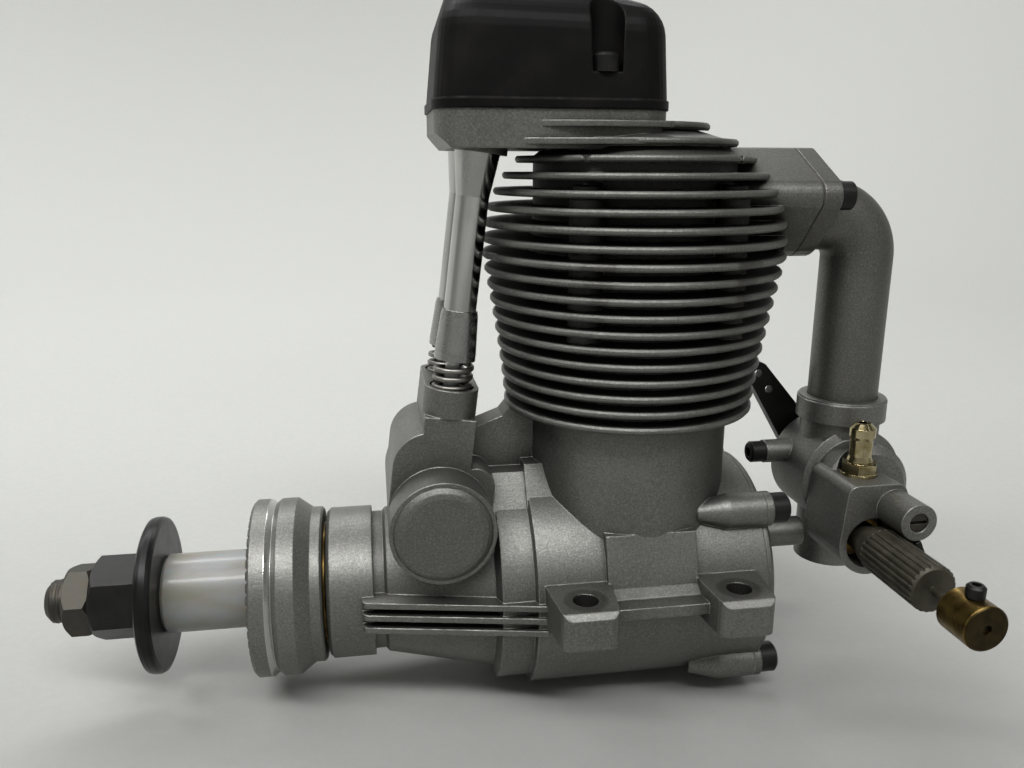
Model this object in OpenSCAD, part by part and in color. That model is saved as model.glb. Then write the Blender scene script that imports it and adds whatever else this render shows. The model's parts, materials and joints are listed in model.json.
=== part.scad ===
// Four-stroke model glow engine, millimetres, +X to the rear, +Z up the cylinder.
// The origin is the crank axis under the cylinder, level with the underside of the mounting lugs.

/* [Mounting lugs] */
// Distance between mounting holes along the crankshaft
lug_pitch_x = 28; // [26:0.5:30]
// Distance between mounting holes across the crankcase
lug_pitch_y = 54; // [53:0.5:58]
// Diameter of a mounting hole
lug_hole_d = 4.6; // [4:0.1:5]
// Thickness of a mounting lug
lug_t = 6.6; // [5.4:0.2:8]
// Width of a lug at its tip
lug_tip_w = 9.4; // [8.8:0.2:11]
// Width of a lug at its root
lug_root_w = 12.6; // [12:0.2:14]

/* [Cylinder] */
// Bore of the cylinder liner
bore_d = 30.4; // [29:0.2:31]
// Stroke of the piston
stroke = 27.5; // [26:0.5:29]
// Wall of the cylinder liner
liner_wall = 1.6; // [1.2:0.1:2]
// Wall of the casting around the liner
neck_wall = 2.6; // [2:0.1:3.4]
// Height of the joint between cylinder and head over the crank axis
deck_z = 65; // [64:0.5:68]
// Number of cooling fins on the cylinder
fin_count = 11; // [8:1:12]
// Height of the lowest fin over the crank axis
fin_foot_z = 35.4; // [34.6:0.2:37]
// Thickness of a cooling fin
fin_t = 1.2; // [0.9:0.1:1.6]
// Diameter of the lowest fin
fin_foot_d = 47.8; // [46:0.2:50]
// Diameter of the widest fin, at the joint with the head
fin_top_d = 56.4; // [55:0.2:58]

/* [Crankcase] */
// Wall around the crank chamber
case_wall = 2.4; // [2:0.1:3]
// Length of the crank chamber behind the cylinder axis
case_rear = 22.5; // [21.5:0.5:25]
// Start of the wide chamber ahead of the cylinder axis
case_front = 21.5; // [21:0.5:24]
// Diameter of the round nose
nose_d = 28.9; // [28:0.1:31]
// Front face of the nose ahead of the cylinder axis
nose_front = 58.8; // [58:0.2:61]
// Thickness of the rear cover flange
cover_t = 1.4; // [1.2:0.1:2.4]
// Number of side cooling plates on each side
plate_count = 3; // [1:1:3]
// Reach of the side cooling plates from the crank axis
plate_reach = 22.6; // [21.6:0.2:24]

/* [Cam and pushrods] */
// Camshaft ahead of the cylinder axis
cam_x = 37.7; // [37:0.1:39]
// Camshaft over the crank axis
cam_z = 17; // [16.5:0.1:18]
// Wall of the camshaft drum around a cam cover
drum_wall = 1; // [0.8:0.1:1.4]
// Half length of the camshaft drum
drum_half = 19; // [18:0.5:21]
// Rearward lean of the pushrods in degrees
push_lean = 7; // [6.5:0.1:7.5]
// Distance of each pushrod from the engine's middle plane
push_y = 6.3; // [6:0.1:6.6]
// Diameter of a pushrod tube
push_tube_d = 5.8; // [5.6:0.1:6.2]
// Wire diameter of a pushrod tube spring
coil_wire_d = 1.1; // [0.9:0.05:1.2]
// Pitch of a pushrod tube spring
coil_pitch = 1.62; // [1.6:0.02:1.8]

/* [Head and rockers] */
// Number of cooling fins on the head
head_fin_count = 8; // [7:1:8]
// Height of the head under the rocker box
head_h = 17.1; // [16:0.1:19]
// Height of the aluminium rocker box wall
box_h = 6.3; // [5.6:0.1:7]
// Rear of the rocker box behind the cylinder axis
box_rear = 2.6; // [2:0.1:3]
// Wall of the aluminium rocker box
box_wall = 3.9; // [3.2:0.1:4.6]
// Height of the rocker cover
cover_h = 22; // [21:0.2:24]
// Valves ahead of the cylinder axis
valve_x = 5; // [4.6:0.1:5.4]
// Valve lift at full rocker stroke
valve_lift = 2.9; // [2.4:0.1:3]

/* [Intake and carburettor] */
// Outer diameter of the intake pipe
pipe_d = 13.6; // [13:0.1:14.2]
// Bore of the intake pipe
pipe_bore = 10; // [9:0.2:10.6]
// Height of the throttle barrel over the crank axis
barrel_z = 17.7; // [17:0.1:18.5]
// Diameter of the carburettor body
carb_d = 21.2; // [20.4:0.2:22.4]
// Half width of the carburettor body
carb_half = 8.2; // [8:0.1:9]
// Bore of the carburettor throat
throat_d = 11; // [9:0.2:11.6]
// Diameter of the throttle barrel
barrel_d = 15; // [14:0.2:15.4]
// Length of the throttle lever
lever_len = 23; // [20:0.5:26]
// Knob diameter of the needle
knob_d = 8.6; // [7.6:0.1:9]

/* [Propeller shaft] */
// Thread diameter of the shaft end
thread_d = 7.94; // [7.5:0.01:8]
// Shaft end that stands out of the lock nut
tip_l = 3.8; // [3.4:0.2:9]
// Diameter of the drive washer
drive_d = 33.6; // [32:0.2:36]
// Diameter of the plastic spacer sleeve
sleeve_d = 14.8; // [14:0.2:17]
// Length of the plastic spacer sleeve
sleeve_l = 16.6; // [14:0.2:17]
// Diameter of the propeller washer
washer_d = 29.2; // [27:0.2:32]
// Width across flats of the propeller nut
prop_nut_af = 14; // [13:0.5:15]
// Width across flats of the lock nut
lock_nut_af = 12; // [12:0.5:13]

/* [Clearances] */
// Radial clearance of a running fit
run = 0.05; // [0.02:0.01:0.08]
// Gap between pieces that pass each other
gap = 0.3; // [0.2:0.05:0.4]

/* [Hidden] */
$fn = 64;
eps = 0.5;

// Crank train
throw = stroke / 2;
big_end_r = 5.2;
big_end_bore = 4.1;
small_end_r = 5;
wrist_r = 3.2;
rod_half = 2.8;
pin_r = 4;
crown_gap = 0.8;
crown_h = 10.4;
piston_h = 17.6;
rod_len = deck_z - crown_gap - crown_h - throw;
wrist_z = rod_len - throw;
crown_z = wrist_z + crown_h;
skirt_z = crown_z - piston_h;
web_front = -12.2;
web_rear = -5.2;
journal_r = 7.5;
front_journal_r = 5;
gear_r = (cam_z - 2 * gap) / 2;
gear_half = 4.2;
gear_teeth = 12;

// Crankcase
chamber_r = throw + big_end_r + gap + 0.15;
weight_gap = 0.8;
weight_r = min(skirt_z - weight_gap, chamber_r - weight_gap - gap);
case_r = chamber_r + case_wall;
chamber_front = web_front - 1.7;
band_front = case_front + 6.8;
nose_r = nose_d / 2;
nose_rear = nose_front - 8.5;
rear_bearing_r = 14;
rear_bearing_l = 8;
front_bearing_r = 11;
front_bearing_l = 6;
bearing_front = -nose_front + 0.6;
liner_r = bore_d / 2 + liner_wall;
liner_foot = chamber_r + 2.6;
liner_lip_r = liner_r + 0.9;
liner_lip_h = 2.2;
neck_r = liner_r + neck_wall;
cover_x = case_rear + cover_t;
cover_spigot = 3;
cover_bolt = (case_r + 0.4) * cos(45);
cover_boss_r = 3.3;
cover_boss_l = 13;
rear_screw_r = 1.5;
rear_head_r = 2.9;
rear_head_l = 3.6;
web_half = 3.1;
saddle_z = case_r + 3;
saddle_half = 7;
pad_half = 8.5;
pad_low = 5;
pad_top = 14.6;
lug_edge = 5.2;
lug_round = 1.8;
lug_out = lug_pitch_y / 2 + lug_edge;
rail_z = 4.3;
rail_low = 2.2;
rail_out = lug_pitch_y / 2 + 0.3;
plate_t = 1.1;
plate_pitch = 2.45;
plate_low = -2;
plate_tip = nose_front - 6.4;
plate_round = 1.6;
plate_front = nose_r + 2;
stay_r = 2.95;
stay_y = -6;
stay_z = 7;
breather_x = 6;
breather_z = -9;
breather_boss_r = 4.2;
breather_y = sqrt(pow(case_r, 2) - pow(breather_z + breather_boss_r, 2)) + 0.2;

// Camshaft housing and pushrods, s is the distance from the camshaft along a pushrod
cam_pocket_r = gear_r + gap;
drum_r = cam_pocket_r + drum_wall;
cam_bearing_l = 3.4;
cam_bearing_end = drum_half - 2.2;
cam_r = 3;
lobe_base_r = 4.6;
lobe_tip = gear_r - gap - 0.2;
lobe_half = 2.4;
tappet_r = 3;
tappet_s = gear_r + gap;
tappet_l = 9;
tower_r = 4.65;
front_shoulder_r = 6.8;
front_shoulder_s = 9;
rear_shoulder_r = 3.6;
rear_shoulder_s = 6;
cup_r = 4.95;
cup_s = 18.5;
cup_top = 23.7;
cup_floor = 20.4;
cup_bore = 4.05;
coil_r = (2 * cup_bore - 2 * gap - coil_wire_d) / 2;
coil_turns = 4.4;
coil_s = cup_floor + coil_wire_d / 2 + 0.05;
sleeve_s = coil_s + coil_turns * coil_pitch + coil_wire_d / 2 + 0.05;
tube_sleeve_l = 9;
tube_socket = 3;
push_tube_r = push_tube_d / 2;
push_bore_r = 2.2;
flare_r = 3.95;
flare_l = 6;
push_r = 1.5;
box_z = deck_z + head_h;
box_s = (box_z - cam_z) / cos(push_lean);
tube_top_s = box_s + 1.6;
tube_foot_s = sleeve_s + tube_sleeve_l - tube_socket;

// Head
fin_pitch = (deck_z - fin_foot_z) / (fin_count - 0.5);
fin_taper = 1.3;
fin_top_r = fin_top_d / 2;
fin_foot_r = fin_foot_d / 2;
dome_h = head_h + 6.5;
dome_power = 2.1;
head_fin_pitch = (head_h + 4 - fin_pitch / 2) / (head_fin_count - 1);
head_core_r = liner_lip_r + 0.9;
bolt_r = 1.6;
bolt_circle = liner_lip_r + bolt_r + 1.3;
bolt_angle = 52;
bolt_boss_r = 3;
bolt_head_r = 2.4;
bolt_head_z = deck_z + 9;
bolt_head_l = 2.4;
bolt_key_r = 1.3;
bolt_depth = 13;
roof_z = deck_z + valve_lift + 2.1;
chamber_head_r = bore_d / 2 - 0.8;
floor_z = box_z + 2.4;
cover_z = box_z + box_h;
cover_wall = 2;
cover_top = cover_z + cover_h;
box_round = 6;
top_round = 4;
shoulder_round = 6;
cover_ridge = 16;
ridge_half = 4;
front_shoulder_z = cover_z + 12;
rear_shoulder_z = cover_z + 11.5;
rocker_x = 17;
rocker_z = cover_z + 5.7;
rocker_shaft_r = 2;
rocker_half = 2.5;
shaft_half = push_y + rocker_half + 0.6;
pedestal_half = push_y - rocker_half - gap;
valve_arm = rocker_x - valve_x;
tip_r = 2.2;
push_top_z = rocker_z - 2.8;
push_top_x = cam_x - (push_top_z - cam_z) * tan(push_lean);
push_arm = push_top_x - rocker_x;
box_front = push_top_x + box_wall + 4.9;
box_w = 2 * (push_y + rocker_half + box_wall + 1.6);
push_end_s = (push_top_z - gap - cam_z) / cos(push_lean) - push_r * tan(push_lean);
adjuster_r = 1.5;
adjuster_l = 7;
stem_r = 1.5;
valve_head_r = chamber_head_r - norm([valve_x, push_y]) - 1.06;
valve_head_t = 1.2;
valve_z = roof_z - valve_head_t - 0.1;
stem_top = rocker_z - 0.4 - tip_r - 0.1;
pocket_h = 4;
guide_r = 2.4;
guide_top = roof_z + 9;
seat_pocket_r = 4.6;
seat_z = roof_z + 7;
retainer_z = stem_top - 3.6;
retainer_t = 1.9;
retainer_r = 3.7;
valve_wire_d = 0.9;
valve_coil_r = seat_pocket_r - gap - valve_wire_d / 2 - 0.2;
valve_coil_turns = 5;
valve_coil_z = seat_z + valve_wire_d / 2 + 0.05;
valve_coil_pitch = (retainer_z - seat_z - valve_wire_d - 0.1) / valve_coil_turns;
plug_x = 8.8;
plug_r = 3.15;
plug_hex_af = 8;
plug_well_r = 5.6;
plug_seat_z = box_z - 2.1;
cover_screw_x = 9.2;
cover_screw_y = box_w / 2 - 1.8;
cover_screw_r = 1;
cover_screw_l = 4;
cover_head_r = 2.25;
cover_head_l = 3;
cover_well_r = 2.9;
cover_well_z = cover_z + 5.8;
exhaust_r = 6.8;
exhaust_boss_r = 9.6;
exhaust_z = deck_z + exhaust_boss_r + gap;
exhaust_out = fin_top_r + 4;
exhaust_depth = 10;

// Intake
block_x = fin_top_r + 2.8;
port_z = deck_z + 5.4;
gasket_t = 0.4;
flange_x = block_x + gasket_t;
flange_t = 3.4;
flange_top = box_z + 0.7;
flange_peak_r = 3;
flange_lobe_r = 3.2;
flange_ring_r = pipe_d / 2 + 1.2;
port_r = pipe_bore / 2;
port_depth = 8;
pipe_r = pipe_d / 2;
bend_r = pipe_r + 1.5;
pipe_x = flange_x + flange_t + bend_r + 3.25;
pipe_screw_y = 10;
pipe_screw_z = port_z + 3.8;
pipe_screw_r = 1.6;
pipe_screw_l = 6;
pipe_head_r = 2.6;
pipe_head_l = 3.4;

// Carburettor
carb_r = carb_d / 2;
carb_step_r = carb_r - 1.7;
carb_step_y = 1.8 - carb_half;
carb_near = -13;
collar_r = pipe_r + 1.95;
collar_neck_r = collar_r - 1;
collar_z = barrel_z + 11.7;
collar_rise = 16.2;
collar_top = barrel_z + collar_rise;
collar_low = barrel_z + 7;
socket_z = barrel_z + 9.8;
pipe_foot = socket_z + 0.3;
throat_r = throat_d / 2;
mouth_r = throat_r + 1.2;
horn_l = 19.2;
mouth_z = barrel_z - horn_l;
barrel_r = barrel_d / 2;
barrel_near = -carb_half + 1.7;
spindle_r = 2.2;
lever_y = carb_half + 2.4;
lever_t = 2.6;
lever_angle = 126;
lever_hole_r = 0.85;
needle_x = pipe_x - 3.8;
needle_z = barrel_z - 7.1;
holder_near = -21.2;
holder_r = 6.4;
stay_end = needle_x - holder_r - gap;
mix_r = 3.45;
holder_top = barrel_z + mix_r + 1;
shelf_r = 2;
recess_r = 5;
recess_y = holder_near + 6;
mix_near = -28.9;
mix_bore = 1.85;
gland_r = 4;
gland_l = 2;
ratchet_l = 7.8;
ratchet_t = 0.9;
ratchet_w = 2.6;
ratchet_angle = 25;
knob_near = -39.9;
knob_far = -22.2;
thimble_r = 2.9;
stem_bore = 1.25;
rod_r = 0.8;
collar_far = -45.6;
collar_near = -52.6;
needle_collar_r = 3.85;
nipple_y = -14.6;
nipple_hex_af = 6;
nipple_l = 10.2;
nipple_stub_r = 1.45;
nipple_neck_r = 2.1;
nipple_barb_r = 2.4;
nipple_flange_r = 3.5;
stop_z = barrel_z + 3.6;
stop_y = 3;
stop_reach = 15;
stop_out = pipe_x - stop_reach;
stop_boss_r = 2.4;
stop_head_r = 2.2;
stop_head_l = 3.2;
stop_screw_r = 1.15;
stop_screw_l = 5.6;

// Propeller group
thread_r = thread_d / 2;
thread_core_r = thread_r - 0.4;
drive_r = drive_d / 2;
thrust_t = 0.4;
drive_rear = -nose_front - gap - thrust_t;
drive_l = 13;
drive_front = drive_rear - drive_l;
drive_bore = 6.6;
collet_r = 6.5;
washer_t = 2.9;
nut_l = 9.6;
lock_l = 4.8;
washer_rear = drive_front - sleeve_l;
nut_rear = washer_rear - washer_t;
lock_rear = nut_rear - nut_l;
shaft_tip = lock_l - lock_rear + tip_l;
sleeve_bore_r = thread_r + 0.43;
sleeve_seat = 0.4;
serrations = 48;
serration = 0.6;

echo(pushrod_spring_gap = coil_gap(coil_r, coil_wire_d, coil_pitch));
echo(valve_spring_gap = coil_gap(valve_coil_r, valve_wire_d, valve_coil_pitch));

cast = "#a3a39f";
machined = "#c9c9c6";
steel = "#8d8d8b";
black_steel = "#2b2b2d";
black_plastic = "#1f1f20";
brass = "#b8913f";

// Round bars along each axis
module x_bar(x0, x1, r, y = 0, z = 0) {
    translate([x0, y, z])
        rotate([0, 90, 0])
            cylinder(h = x1 - x0, r = r);
}

module y_bar(y0, y1, r, x = 0, z = 0) {
    translate([x, y0, z])
        rotate([-90, 0, 0])
            cylinder(h = y1 - y0, r = r);
}

module z_bar(z0, z1, r, x = 0, y = 0) {
    translate([x, y, z0])
        cylinder(h = z1 - z0, r = r);
}

// Turned pieces, each point is [radius, place along the axis]
module x_turn(points) {
    rotate([0, 90, 0])
        rotate_extrude()
            polygon(points);
}

module y_turn(points) {
    rotate([-90, 0, 0])
        rotate_extrude()
            polygon(points);
}

// Hexagon bar along X
module x_hex(x0, x1, af, turn) {
    translate([x0, 0, 0])
        rotate([turn, 0, 0])
            rotate([0, 90, 0])
                cylinder(h = x1 - x0, r = af / 2 / cos(30), $fn = 6);
}

module both_sides() {
    children();
    mirror([0, 1, 0])
        children();
}

// Frame of one pushrod, with its origin on the camshaft
module on_pushrod(side) {
    translate([-cam_x, side * push_y, cam_z])
        rotate([0, push_lean, 0])
            children();
}

// Rectangle with rounded corners, from its low to its high corner
module soft_rect(low, high, r) {
    translate([low[0] + r, low[1]])
        square([high[0] - low[0] - 2 * r, high[1] - low[1]]);
    translate([low[0], low[1] + r])
        square([high[0] - low[0], high[1] - low[1] - 2 * r]);
    for (x = [low[0] + r, high[0] - r], y = [low[1] + r, high[1] - r])
        translate([x, y])
            circle(r = r);
}

// Outline of one fin edge with broken corners
function fin_edge(r, z, root) = [[root, z - fin_t / 2], [r - fin_t / 4, z - fin_t / 2],
    [r, z - fin_t / 5], [r, z + fin_t / 5], [r - fin_t / 4, z + fin_t / 2], [root, z + fin_t / 2]];

function cylinder_fin_z(i) = fin_foot_z + i * fin_pitch;
function cylinder_fin_r(i) = fin_foot_r + (fin_top_r - fin_foot_r) * pow(i / (fin_count - 1), fin_taper);
function head_fin_z(i) = deck_z + fin_pitch / 2 + i * head_fin_pitch;
function head_fin_r(i) =
    fin_top_r * pow(1 - pow((head_fin_z(i) - deck_z) / dome_h, dome_power), 1 / dome_power);
function bolt_places() = [for (a = [bolt_angle, 180 - bolt_angle, 180 + bolt_angle, -bolt_angle])
    [bolt_circle * cos(a), bolt_circle * sin(a)]];

// Helix of round wire as one closed tube, standing on z = 0
coil_sides = 6;
coil_rings = 8;
function coil_point(i, k, r, wire_r, pitch) =
    let (a = 360 * i / coil_rings, b = 360 * k / coil_sides)
    [(r + wire_r * cos(b)) * cos(a), (r + wire_r * cos(b)) * sin(a),
        pitch * i / coil_rings + wire_r * sin(b)];

// Least gap between neighbouring turns of a coil, from the middles of its rings
function coil_gap(r, wire_d, pitch) = min([for (i = [coil_rings - 2:coil_rings + 2])
    norm([r * cos(360 * i / coil_rings) - r, r * sin(360 * i / coil_rings),
        pitch * i / coil_rings])]) - wire_d;

module coil(r, wire_d, pitch, turns) {
    last = round(turns * coil_rings);
    points = [for (i = [0:last], k = [0:coil_sides - 1]) coil_point(i, k, r, wire_d / 2, pitch)];
    walls = [for (i = [0:last - 1], k = [0:coil_sides - 1])
        let (a = i * coil_sides + k, b = i * coil_sides + (k + 1) % coil_sides)
        each [[a, a + coil_sides, b], [b, a + coil_sides, b + coil_sides]]];
    ends = [for (k = [1:coil_sides - 2]) each [[0, k, k + 1],
        [last * coil_sides, last * coil_sides + k + 1, last * coil_sides + k]]];
    polyhedron(points, concat(walls, ends));
}

// Gear blank with straight flanks, its axis along Z
module gear_blank(r, teeth, h) {
    linear_extrude(h)
        difference() {
            circle(r = r);
            for (i = [0:teeth - 1])
                rotate(360 * i / teeth)
                    translate([r, 0])
                        circle(r = r * 1.9 / teeth);
        }
}

// Crankcase casting
module case_turned() {
    x_turn([[0, -nose_front], [nose_r - 0.7, -nose_front], [nose_r, 0.7 - nose_front], [nose_r, -nose_rear],
        [nose_r - 1.2, -nose_rear], [nose_r - 1.2, 2 - nose_rear], [nose_r - 0.5, 2.6 - nose_rear],
        [case_r - 3.7, -band_front], [case_r - 1.3, 0.9 - band_front], [case_r - 1.3, -case_front],
        [case_r, 0.4 - case_front], [case_r, case_rear], [0, case_rear]]);
}

module finned_cylinder() {
    rotate_extrude()
        polygon(concat([[0, 0], [neck_r, 0], [neck_r, fin_foot_z - 2]],
            [for (i = [0:fin_count - 1]) each fin_edge(cylinder_fin_r(i), cylinder_fin_z(i), neck_r + 0.1)],
            [[neck_r + 0.1, deck_z], [0, deck_z]]));
    for (p = bolt_places())
        z_bar(deck_z - bolt_depth - 2, deck_z, bolt_boss_r, p[0], p[1]);
}

module cam_housing() {
    y_bar(-drum_half, drum_half, drum_r, -cam_x, cam_z);
    translate([-cam_x, 0, cam_z])
        rotate([0, push_lean, 0]) {
            rotate([90, 0, 0])
                linear_extrude(2 * (push_y + tower_r), center = true)
                    tower_outline();
            translate([0, 0, cup_s])
                linear_extrude(cup_top - cup_s)
                    soft_rect([-cup_r, -push_y - cup_r], [cup_r, push_y + cup_r], cup_r - 0.1);
        }
}

// Side view of the pushrod tower, with a high round shoulder to the front
module tower_outline() {
    translate([-tower_r, 0])
        square([2 * tower_r, cup_s + 0.1]);
    translate([-drum_r, 0])
        square([drum_r, front_shoulder_s]);
    square([drum_r, rear_shoulder_s]);
    translate([front_shoulder_r - drum_r, front_shoulder_s])
        circle(r = front_shoulder_r);
    translate([drum_r - rear_shoulder_r, rear_shoulder_s])
        circle(r = rear_shoulder_r);
}

// Web from the pushrod towers to the cylinder, on a sloping saddle
module tower_web() {
    rotate([90, 0, 0])
        linear_extrude(2 * web_half, center = true)
            polygon([[-cam_x + 3, cam_z], [-cam_x + 3, cam_z + 13], [-cam_x + 6.5, cam_z + 14],
                [-neck_r - 5.6, fin_foot_z - 2], [-neck_r - 4, fin_foot_z], [-neck_r + 2, fin_foot_z],
                [-neck_r + 2, cam_z]]);
    along_x(-cam_x, -case_front)
        saddle_outline(saddle_z - 1.4);
    along_x(-case_front, 0)
        saddle_outline(saddle_z);
}

module saddle_outline(top) {
    polygon([[-case_r * 0.68, case_r * 0.5], [-saddle_half, top], [saddle_half, top],
        [case_r * 0.68, case_r * 0.5]]);
}

module side_plate(z) {
    translate([0, 0, z - plate_t / 2])
        linear_extrude(plate_t) {
            polygon([[-case_front + 2, -nose_r + 4], [-case_front + 2, -plate_reach],
                [plate_round - plate_tip, -plate_front], [-plate_tip, plate_round - plate_front],
                [-plate_tip, -nose_r + 4]]);
            translate([plate_round - plate_tip, plate_round - plate_front])
                circle(r = plate_round);
        }
}

module lug(x) {
    difference() {
        linear_extrude(lug_t) {
            polygon([[x - lug_root_w / 2, -case_r + 4], [x - lug_tip_w / 2 - 0.4, -lug_out + lug_round],
                [x - lug_tip_w / 2 + lug_round, -lug_out], [x + lug_tip_w / 2 - lug_round, -lug_out],
                [x + lug_tip_w / 2 + 0.4, -lug_out + lug_round], [x + lug_root_w / 2, -case_r + 4]]);
            for (k = [-1, 1])
                translate([x + k * (lug_tip_w / 2 - lug_round + 0.35), -lug_out + lug_round])
                    circle(r = lug_round);
        }
        translate([x, -lug_out, lug_t])
            rotate([45, 0, 0])
                cube([2 * lug_root_w, 1.4, 1.4], center = true);
    }
}

module cover_boss() {
    translate([case_rear - cover_boss_l, -cover_bolt, 0])
        rotate([0, 90, 0]) {
            cylinder(h = cover_boss_l * 0.45, r1 = cover_boss_r * 0.5, r2 = cover_boss_r);
            translate([0, 0, cover_boss_l * 0.45])
                cylinder(h = cover_boss_l * 0.55, r = cover_boss_r);
        }
}

module at_cover_bolts() {
    for (z = [0.6 - cover_bolt, cover_bolt + 0.9])
        both_sides()
            translate([0, 0, z])
                children();
}

module crankcase() {
    color(cast)
        difference() {
            union() {
                case_turned();
                finned_cylinder();
                cam_housing();
                tower_web();
                both_sides() {
                    for (i = [0:plate_count - 1])
                        side_plate(plate_low + i * plate_pitch);
                    for (x = [-lug_pitch_x / 2, lug_pitch_x / 2])
                        lug(x);
                    translate([-lug_pitch_x / 2, -rail_out, rail_low])
                        cube([lug_pitch_x, rail_out - nose_r + 4, rail_z - rail_low]);
                    along_x(-pad_half, pad_half)
                        polygon([[-case_r - 0.6, pad_low], [-case_r + 2.6, pad_top], [-nose_r, pad_top],
                            [-nose_r, pad_low]]);
                }
                at_cover_bolts()
                    cover_boss();
                y_bar(chamber_r - 3, breather_y, breather_boss_r, breather_x, breather_z);
            }
            // Crank chamber, bearing seats and gear pocket
            x_bar(chamber_front, case_rear + eps, chamber_r);
            x_bar(chamber_front - rear_bearing_l, chamber_front + eps, rear_bearing_r);
            x_bar(-nose_front + 1, chamber_front, journal_r + 1);
            x_bar(-cam_x - gear_half - 1, -cam_x + gear_half + 1, gear_r + 1);
            x_bar(-nose_front - eps, bearing_front + front_bearing_l, front_bearing_r);
            // Cylinder
            z_bar(min(skirt_z - 1, chamber_r - 1.3), liner_foot + eps, bore_d / 2 + gap);
            z_bar(liner_foot, deck_z + eps, liner_r);
            z_bar(deck_z - liner_lip_h, deck_z + eps, liner_lip_r);
            for (p = bolt_places())
                z_bar(deck_z - bolt_depth, deck_z + eps, bolt_r, p[0], p[1]);
            // Camshaft
            y_bar(-drum_half - eps, drum_half + eps, cam_pocket_r, -cam_x, cam_z);
            for (side = [-1, 1])
                on_pushrod(side) {
                    z_bar(0, cup_top, tappet_r + run);
                    z_bar(cup_floor, cup_top + eps, cup_bore);
                }
            // Room for the pushrod tubes in the fins
            for (side = [-1, 1])
                on_pushrod(side)
                    z_bar(cup_top + eps, box_s, cup_r + gap);
            // Mounting and cover screws
            for (x = [-lug_pitch_x / 2, lug_pitch_x / 2], y = [-lug_pitch_y / 2, lug_pitch_y / 2])
                z_bar(-eps, lug_t + eps, lug_hole_d / 2, x, y);
            at_cover_bolts()
                x_bar(case_rear - cover_boss_l + 4, case_rear + eps, rear_screw_r, -cover_bolt);
            y_bar(chamber_r - 4, breather_y + eps, nipple_stub_r + 0.05, breather_x, breather_z);
        }
}

module rear_cover() {
    color(cast)
        difference() {
            union() {
                x_turn([[0, case_rear - cover_spigot], [chamber_r - run, case_rear - cover_spigot],
                    [chamber_r - run, case_rear], [case_r, case_rear], [case_r, cover_x - 0.6],
                    [case_r - 0.6, cover_x], [0, cover_x]]);
                at_cover_bolts()
                    x_bar(case_rear, cover_x, cover_boss_r, -cover_bolt);
                x_bar(cover_x - eps, stay_end, stay_r, stay_y, stay_z);
            }
            at_cover_bolts()
                x_bar(case_rear - cover_spigot - eps, cover_x + eps, rear_screw_r + run, -cover_bolt);
        }
}

module cap_head(x, r, l, socket_r) {
    difference() {
        x_turn([[0, x], [r, x], [r, x + l - 0.4], [r - 0.4, x + l], [0, x + l]]);
        translate([x + l - 1.6, 0, 0])
            rotate([0, 90, 0])
                cylinder(h = 2, r = socket_r, $fn = 6);
    }
}

module rear_cover_screws() {
    color(black_steel)
        at_cover_bolts()
            translate([0, -cover_bolt, 0]) {
                cap_head(cover_x, rear_head_r, rear_head_l, 1.4);
                x_bar(case_rear - cover_boss_l + 5, cover_x, rear_screw_r - run);
            }
}

module cam_covers() {
    face = drum_half + 0.9;
    color(cast)
        both_sides()
            translate([-cam_x, 0, cam_z])
                y_turn([[0, -face], [cam_pocket_r - 1.6, -face], [cam_pocket_r - 0.7, 0.25 - face],
                    [cam_pocket_r, 0.7 - face], [cam_pocket_r + 0.3, -drum_half],
                    [cam_pocket_r - run, -drum_half], [cam_pocket_r - run, -cam_bearing_end],
                    [0, -cam_bearing_end]]);
}

module ball_bearing(outer_r, inner_r, l) {
    race = (outer_r - inner_r) / 3.2;
    rotate([0, 90, 0]) {
        rotate_extrude() {
            translate([inner_r, 0])
                square([race, l]);
            translate([outer_r - race, 0])
                square([race, l]);
            translate([inner_r + race, l * 0.2])
                square([outer_r - inner_r - 2 * race, l * 0.6]);
        }
    }
}

module front_bearing() {
    color(steel)
        translate([bearing_front, 0, 0])
            ball_bearing(front_bearing_r - 0.01, front_journal_r + run, front_bearing_l - 0.05);
}

module rear_bearing() {
    color(steel)
        translate([chamber_front - rear_bearing_l + 0.05, 0, 0])
            ball_bearing(rear_bearing_r - 0.01, journal_r + run, rear_bearing_l - 0.6);
}

module cam_bearings() {
    color(steel)
        both_sides()
            translate([-cam_x, -cam_bearing_end + 0.02, cam_z])
                rotate([0, 0, 90])
                    ball_bearing(cam_pocket_r - 0.01, cam_r + run, cam_bearing_l);
}

module cylinder_liner() {
    color(steel)
        rotate_extrude()
            polygon([[bore_d / 2, liner_foot + 0.02], [liner_r - 0.01, liner_foot + 0.02],
                [liner_r - 0.01, deck_z - liner_lip_h + 0.02],
                [liner_lip_r - run, deck_z - liner_lip_h + 0.02],
                [liner_lip_r - run, deck_z - 0.02], [bore_d / 2, deck_z - 0.02]]);
}

// Head casting with rocker box, intake block and exhaust boss
module head_turned() {
    rotate_extrude()
        polygon(concat([[0, deck_z + 0.02], [head_core_r, deck_z + 0.02]],
            [for (i = [0:head_fin_count - 1]) each fin_edge(head_fin_r(i), head_fin_z(i),
                min(head_core_r, head_fin_r(i) - 2))],
            [[0, head_fin_z(head_fin_count - 1) + fin_t / 2]]));
    for (p = bolt_places())
        z_bar(deck_z + 0.02, bolt_head_z, bolt_boss_r, p[0], p[1]);
}

module box_outline(inset) {
    soft_rect([-box_front + inset, -box_w / 2 + inset], [box_rear - inset, box_w / 2 - inset],
        box_round - inset);
}

module rocker_box() {
    difference() {
        translate([0, 0, box_z])
            linear_extrude(box_h)
                box_outline(0);
        translate([-box_front, 0, box_z])
            rotate([0, 45, 0])
                cube([3.6, 2 * box_w, 3.6], center = true);
    }
    for (side = [-1, 1])
        on_pushrod(side)
            z_bar(box_s - 0.6, box_s + 3, flare_r + 1.2);
}

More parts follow.
